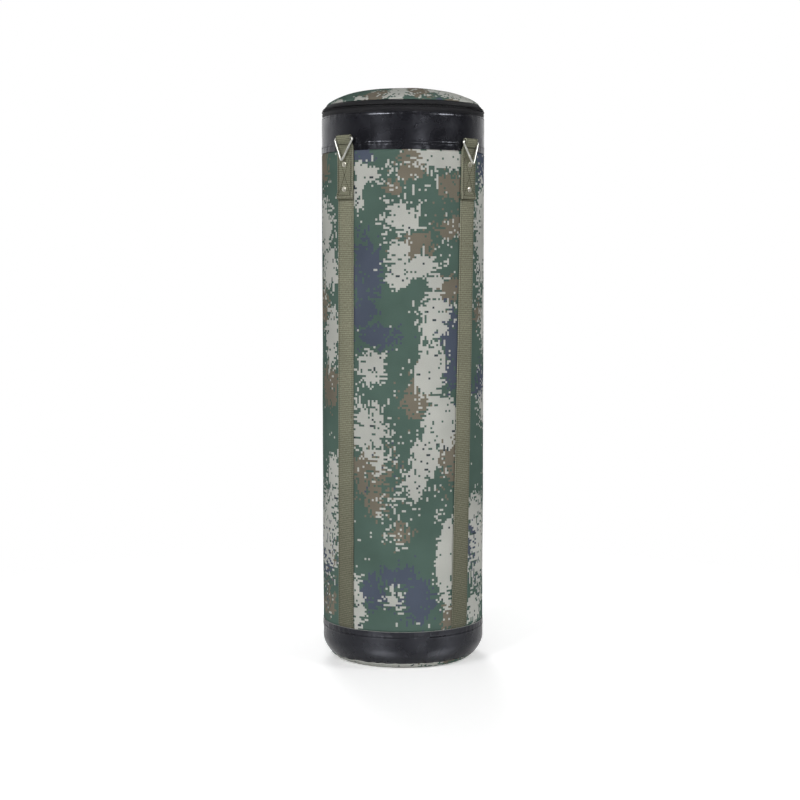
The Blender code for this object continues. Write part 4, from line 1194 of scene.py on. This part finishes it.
def make_strap(strap):
    line, spaced = strap_line(strap)
    crease, shade = strap_shade(strap, line)
    line[:, 0] -= 0.0004 * crease
    along = unit(np.gradient(line, axis=0))
    normal = np.stack([along[:, 1], -along[:, 0]], -1)
    lanes, thick = strap_section(spaced, line[:, 1])
    gathered = 1 - LOOP_GATHER / HALF_WEBBING * ease((line[:, 1] - strap.loop_low + 0.004) / 0.006)
    wander = 0.00025 * rolling(spaced, 0.0, 0.0, 0.05, 20 + len(strap.side))
    across = lanes * gathered[:, None] + wander[:, None]
    faces = []
    for sign, order in ((1, slice(None)), (-1, slice(None, None, -1))):
        offset, height = (line[:, k:k + 1] + sign * thick * normal[:, k:k + 1] for k in (0, 1))
        faces.append(strap.place(across, offset, height)[:, order])
    grid = np.concatenate(faces, axis=1)
    flat_across = np.concatenate([lanes, lanes[::-1], lanes[:1]])
    flat = np.stack(np.broadcast_arrays(flat_across, spaced[:, None]), -1)
    piece = grid_piece(f"webbing_strap_{strap.side}", grid, webbing, flat, close=False, caps=True, sharp=70)
    # The painted shade goes onto the points as an attribute.
    values = np.repeat(shade, grid.shape[1]).astype(np.float32)
    piece.data.attributes.new("shade", "FLOAT", "POINT").data.foreach_set("value", values)
    return place_piece(piece, "bag", "olive_webbing", f"hanging_strap_{strap.side}")


for strap in STRAPS:
    print(strap.side, "strap has", len(make_strap(strap).data.polygons), "faces")


# %% [markdown]
# The straps are sewn down along both edges with thread of nearly their own colour. The doubled head is
# held by a box of dark stitches with a cross in it, the usual sign of a joint that carries weight.

# %% Stitches on the straps
EDGE_THREAD, BOX_THREAD = 0.0006, 0.0010
EDGE_LOW, EDGE_HIGH = CUFF_TOP + 0.006, TAIL_END - 0.002
EDGE_LAYER = BACK_LAYER + WEBBING * 0.40
BOX_LAYER = FRONT_LAYER + WEBBING * 0.47
BOX_TOP_DROP = 0.0295        # from the bar down to the box of stitches
BOX_LOW = TAIL_END + 0.0065
BOX_HALF = 0.0143
CREASE_HALF = 0.0145         # half of the row that closes the loop under the ring's bar


def strap_row(strap, points, offset):
    """Stitch points through (across, height) corners, evenly spaced, on a layer of the webbing."""
    length = run_length(points)
    spaced = np.linspace(0, length[-1], max(2, round(length[-1] / STITCH)) + 1)
    across, height = (np.interp(spaced, length, values) for values in zip(*points))
    low, high = (strap.place(across, offset + lift, height) for lift in (0.0, LIFT_STEP))
    return low, (high - low) / LIFT_STEP


def box_row(strap, start, end):
    """A row of the box, which climbs over the fold in the tail."""
    points, outward = strap_row(strap, [start, end], BOX_LAYER)
    lift = (TAIL_LAYER - FRONT_LAYER) * ease((TAIL_END + FOLD_RISE - points[:, 2]) / FOLD_LENGTH)
    return points + outward * lift[:, None], outward


def sew_strap(strap):
    edges = [strap_row(strap, [(across, EDGE_LOW), (across, EDGE_HIGH)], EDGE_LAYER)
             for across in (-EDGE_STITCH, EDGE_STITCH)]
    piece = stitches(f"strap_edge_stitches_{strap.side}", edges, EDGE_THREAD, strap_thread)
    place_piece(piece, "bag", "olive_webbing")
    top, low, half = strap.bar - BOX_TOP_DROP, BOX_LOW, BOX_HALF
    lines = [((-half, top), (half, top)), ((-half, low), (half, low)), ((-half, low), (-half, top)),
             ((half, low), (half, top)), ((-half, low), (half, top)), ((half, low), (-half, top))]
    box = [box_row(strap, *line) for line in lines]
    crease = [(-CREASE_HALF, strap.loop_low), (CREASE_HALF, strap.loop_low)]
    box.append(strap_row(strap, crease, BOX_LAYER + 0.0001))
    place_piece(stitches(f"box_stitches_{strap.side}", box, BOX_THREAD, dark_thread), "bag", "olive_webbing")


for strap in STRAPS:
    sew_strap(strap)


# %% [markdown]
# ## Rings and rivets
# A triangle ring is one length of wire with three tight bends, so a tube is swept round a triangle whose
# corners are arcs. A rivet is turned: a domed cap that presses the webbing down all round. The solids have
# the same sizes with flat facets, and these pieces give them the true round surface that plated metal needs.

# %% Triangle rings
RING_SLOPE = math.radians(61.5)
RING_BEND = 0.0026
RING_LEAN = math.radians(8.5)
RING_SIDE_PLAY = 0.0012
LOOP_HALF_WIDTH = 0.0172
RING_HALF = LOOP_HALF_WIDTH + RING_SIDE_PLAY + RING_BEND * math.tan((math.pi - RING_SLOPE) / 2)
RING_DEPTH = RING_HALF * math.tan(RING_SLOPE)
BEND_STEPS, WIRE_SIDES = 12, 20


def tube(name, line, along, across, wire, sides, material, closed):
    """A wire swept along a line. across points to one side of it, and need not be square to it."""
    side = unit(np.cross(along, across))
    other = np.cross(along, side)
    turn = even_turn(sides)[:, None]
    grid = line[:, None] + wire / 2 * (np.cos(turn) * side[:, None] + np.sin(turn) * other[:, None])
    return grid_piece(name, grid, material, close=closed, caps=not closed, sharp=180)


def ring_line():
    """Middle of the wire in its own plane, as (across, up from the bar), with round corners."""
    corners = [Vector((-RING_HALF, 0)), Vector((0, -RING_DEPTH)), Vector((RING_HALF, 0))]
    points = []
    for index, corner in enumerate(corners):
        next_corner = corners[(index + 1) % 3]
        before, after = (corners[index - 1] - corner).normalized(), (next_corner - corner).normalized()
        half_angle = before.angle(after) / 2
        tangent = RING_BEND / math.tan(half_angle)
        centre = corner + (before + after).normalized() * RING_BEND / math.sin(half_angle)
        first, last = corner + before * tangent - centre, corner + after * tangent - centre
        arms = [first.slerp(last, step / BEND_STEPS).normalized() for step in range(BEND_STEPS + 1)]
        points += [centre + arm * RING_BEND for arm in arms]
        leg_end = next_corner - after * tangent
        points += [points[-1].lerp(leg_end, share) for share in (0.25, 0.5, 0.75)]
    return np.array(points)


def make_ring(strap):
    across, up = ring_line().T
    out = RADIUS + strap.bar_offset - up * math.sin(RING_LEAN)
    plan = beside(strap.azimuth, out, across)
    line = np.column_stack([plan, strap.bar + up * math.cos(RING_LEAN)])
    along = unit(np.roll(line, -1, axis=0) - np.roll(line, 1, axis=0))
    facing = around_axis(math.cos(RING_LEAN), strap.azimuth, math.sin(RING_LEAN))
    piece = tube(f"wire_ring_{strap.side}", line, along, facing, RING_WIRE, WIRE_SIDES, plated_wire, True)
    return place_piece(piece, f"ring_{strap.side}", "plated_wire", f"triangle_ring_{strap.side}")


for strap in STRAPS:
    make_ring(strap)
print("ring is", round(RING_HALF * 2000, 1), "mm wide and", round(RING_DEPTH * 1000, 1), "mm deep")

# %% Rivets
RIVET_RISE, RIVET_RIM = 0.0022, 0.0006       # height of the cap, and of its rim
RIVET_SEAT = FRONT_LAYER + WEBBING / 2 + GAP
SHANK = 0.0017
RIVET_TAIL = (0.0026, 0.0022)                # the peened end's radius inside the canvas, and at its very end
TAIL_DEPTH, TAIL_TIP = 0.0030, 0.0036
RIVET_SIDES = 32


def make_rivet(strap, which):
    """A rivet turned about an axis that points out of the bag."""
    node = f"rivet_{which}_{strap.side}"
    low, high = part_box(node)
    height = (low.z + high.z) / 2
    dome = np.linspace(0, math.pi / 2, 10)
    rim = RIVET_SEAT + RIVET_RIM
    profile = [(RIVET_HEAD * math.sin(a), rim + (RIVET_RISE - RIVET_RIM) * math.cos(a)) for a in dome]
    profile += [(RIVET_HEAD, RIVET_SEAT + 0.0002), (RIVET_HEAD - 0.0003, RIVET_SEAT - 0.0001)]
    profile += [(SHANK, RIVET_SEAT - 0.0001), (SHANK, -TAIL_DEPTH)]
    profile += [(RIVET_TAIL[0], -TAIL_DEPTH), (RIVET_TAIL[1], -TAIL_TIP), (0.0, -TAIL_TIP)]
    radius, out = np.array(profile).T[:, :, None]
    turn = even_turn(RIVET_SIDES)
    plan = beside(strap.angle(height), RADIUS + out, radius * np.sin(turn))
    grid = np.concatenate([plan, (height - radius * np.cos(turn))[..., None]], -1)
    piece = grid_piece(f"rivet_cap_{which}_{strap.side}", grid, nickel, close=False, sharp=50)
    return place_piece(piece, "bag", "nickel_rivet", node)


def finish_solid(node, material):
    """A solid whose shape is right stays, and only gets its finish."""
    solid = frame["nodes"][node]
    solid.data.materials.clear()
    solid.data.materials.append(material)
    return solid


for strap in STRAPS:
    for which in ("upper", "lower"):
        make_rivet(strap, which)
        finish_solid(f"rivet_burr_{which}_{strap.side}", nickel)
print("rivets:", 2 * len(STRAPS), "with caps", RIVET_HEAD * 2000, "mm across")

# %% [markdown]
# ## Zip
# The lid opens with a coil zip: two woven tapes, each with a nylon coil whose turns grip those of the
# other. A ring with a bump map would do from afar, but the coil is what the eye looks for on a zip, so each
# coil is a real wire wound along its tape, with a turn every 1.5 mm.

# %% Tapes
TAPE = 0.0008
TAPE_UNDER = 0.008
SOLID_SIDES = 44             # of each turned solid that the tapes lie on
TAPE_DEPTH = COIL + RADIUS * (1 - math.cos(math.pi / SOLID_SIDES)) + GAP


def tape_relief(distance, angle):
    """Slightly uneven, and pushed up between the coil and the leather or the lid."""
    from_chain = np.abs(distance - CHAIN_MIDDLE) - (CHAIN_END - CHAIN_START) / 2
    bulge = 0.0008 * bell(from_chain - TAPE_SHOW / 2, 0.0032)
    return 0.00012 * round_bag(angle, distance, 0.02, 16) - 0.00012 + bulge


for half, ends in (("lower", (SHOULDER - TAPE_UNDER, CHAIN_START + COIL_WIDTH)),
                   ("upper", (UPPER_COIL, LID_EDGE + TAPE_UNDER))):
    points = [(distance, TAPE_DEPTH) for distance in ends]
    piece = cover(f"woven_tape_{half}", points, (0.0015,), 240, TAPE, tape, tape_relief)
    place_piece(piece, "bag", "zip_tape", f"zip_tape_{half}")
    print(half, "tape has", len(piece.data.polygons), "faces")


# %% Coils
PATCH_MIDDLE, PATCH_HALF = math.radians(132.6), math.radians(20)
COIL_PITCH = 0.0015
COIL_WIRE = 0.00042
COIL_REACH = 0.00035         # how far each coil reaches into the gap, up to the slider's wedge
COIL_RADIUS = 0.147          # of the rim that the coil is wound along
TURN_STEPS, NYLON_SIDES = 9, 5


def make_coil(name, start, side, node):
    """A nylon wire wound along the rim, from one end of the zip to the other."""
    play = GAP / RADIUS * 2
    first, sweep = PATCH_MIDDLE + PATCH_HALF + play, math.tau - 2 * PATCH_HALF - 2 * play
    turns = round(sweep * COIL_RADIUS / COIL_PITCH)
    share = np.arange(turns * TURN_STEPS + 1) / (turns * TURN_STEPS)
    phase, angle = share * turns * math.tau, first + sweep * share
    middle = start + COIL_WIDTH / 2 + side * COIL_REACH / 2
    half = (COIL_WIDTH + COIL_REACH - COIL_WIRE) / 2
    lift = -COIL / 2 + (COIL - COIL_WIRE) / 2 * np.sin(phase)
    r, z = on_outline(middle + half * np.cos(phase), lift)
    line = around_axis(r, angle, z)
    round_the_bag = around_axis(1.0, angle + math.pi / 2, 0.0)
    along = unit(np.gradient(line, axis=0))
    piece = tube(name, line, along, round_the_bag, COIL_WIRE, NYLON_SIDES, nylon, False)
    print(name, "has", turns, "turns")
    return place_piece(piece, "bag", "zip_coil", node)


make_coil("nylon_coil_lower", CHAIN_START, 1, "zip_coil_lower")
make_coil("nylon_coil_upper", UPPER_COIL, -1, "zip_coil_upper")

# %% Patch over the zip's ends
PATCH = 0.0010
PATCH_LOW, PATCH_HIGH = SHOULDER + 0.001, LID_EDGE - 0.001
PATCH_ROW = 0.0028           # from the patch's edge to its stitches
PATCH_ROWS, PATCH_COLUMNS = 38, 140


def patch_relief(distance, angle):
    across = PATCH_HALF * RADIUS - np.abs(angle - PATCH_MIDDLE) * RADIUS
    from_edge = np.minimum(across, np.minimum(distance - PATCH_LOW, PATCH_HIGH - distance))
    sewn = 0.00030 * bell(from_edge - PATCH_ROW, 0.0012)
    return -0.00055 + 0.00018 * round_bag(angle, distance, 0.012, 17) - sewn


def make_patch():
    distance = np.linspace(PATCH_LOW, PATCH_HIGH, PATCH_ROWS)[:, None]
    angle = np.linspace(PATCH_MIDDLE - PATCH_HALF, PATCH_MIDDLE + PATCH_HALF, PATCH_COLUMNS)[None, :]
    faces = []
    for inset, order in ((0.0, 1), (PATCH, -1)):
        r, z = on_outline(distance, patch_relief(distance, angle) - inset)
        faces.append(around_axis(r, angle, z)[::order])
    half = np.stack(np.broadcast_arrays((angle - PATCH_MIDDLE) * RADIUS, distance), -1)
    flat = np.concatenate([half, half[::-1], half[:1]])
    grid, flat = (points.transpose(1, 0, 2)[::-1] for points in (np.concatenate(faces), flat))
    return grid_piece("leather_end_patch", grid, leather, flat, close=False, caps=True)


def patch_row(start, end):
    """Stitch points on the patch from one (distance, angle) to another."""
    length = math.hypot(end[0] - start[0], (end[1] - start[1]) * RADIUS)
    share = np.linspace(0, 1, round(length / STITCH) + 1)
    distance, angle = (a + (b - a) * share for a, b in zip(start, end))
    return sewn_row(patch_relief, distance, angle, PATCH_LIFT)


place_piece(make_patch(), "bag", "black_leather", "zip_end_patch")
low, high = PATCH_LOW + PATCH_ROW, PATCH_HIGH - PATCH_ROW
first, last = (PATCH_MIDDLE + side * (PATCH_HALF - PATCH_ROW / RADIUS) for side in (-1, 1))
corners = [(low, first), (low, last), (high, last), (high, first)]
rows = [patch_row(start, end) for start, end in zip(corners, corners[1:] + corners[:1])]
place_piece(stitches("patch_stitches", rows, THREAD, black_thread), "bag", "black_leather")

# %% Slider and pull
for node in ("zip_slider", "zip_pull"):
    solid = finish_solid(node, black_metal)
    solid.modifiers.new("join_facets", "WELD").merge_threshold = 0.00001
    bevel = solid.modifiers.new("soft_edges", "BEVEL")
    bevel.width = 0.00022
    bevel.segments = 2
    bevel.limit_method = "ANGLE"
    print(node, "keeps its solid, with softer edges")


# %% [markdown]
# ## Padding and filling
# Inside, a foam sleeve lines the canvas, foam pads shape the base and the lid, and packed textile cuttings
# fill the rest. None of it shows, but it is modelled, so that the bag could be opened: soft turned forms with
# a lumpy surface, each a little inside the solid that it stands for.


# %% Padding
def padded_piece(node, name, material, slot, lump):
    """A finer copy of a hidden solid: subdivided, pressed in a little and made lumpy."""
    bm = bmesh.new()
    bm.from_mesh(frame["nodes"][node].data)
    bmesh.ops.remove_doubles(bm, verts=bm.verts, dist=1e-5)
    long_edges = [edge for edge in bm.edges if edge.calc_length() > 0.02]
    bmesh.ops.subdivide_edges(bm, edges=long_edges, cuts=2, use_grid_fill=True)
    bmesh.ops.triangulate(bm, faces=bm.faces)
    bm.normal_update()
    for vertex in bm.verts:
        vertex.co += vertex.normal * (float(rolling(*vertex.co, 0.03, 18)) * lump - lump)
    mesh = bpy.data.meshes.new(name)
    bm.to_mesh(mesh)
    bm.free()
    piece = place_piece(mesh_piece(name, mesh, material, 40), "bag", slot, node)
    print(name, "has", len(mesh.polygons), "faces")
    return piece


padded_piece("foam_sleeve", "foam_lining", foam, "foam", 0.0003)
padded_piece("base_pad", "foam_base_pad", foam, "foam", 0.0003)
padded_piece("top_pad", "foam_lid_pad", foam, "foam", 0.0003)
padded_piece("filling_core", "packed_textile", textile, "textile_filling", 0.0006)
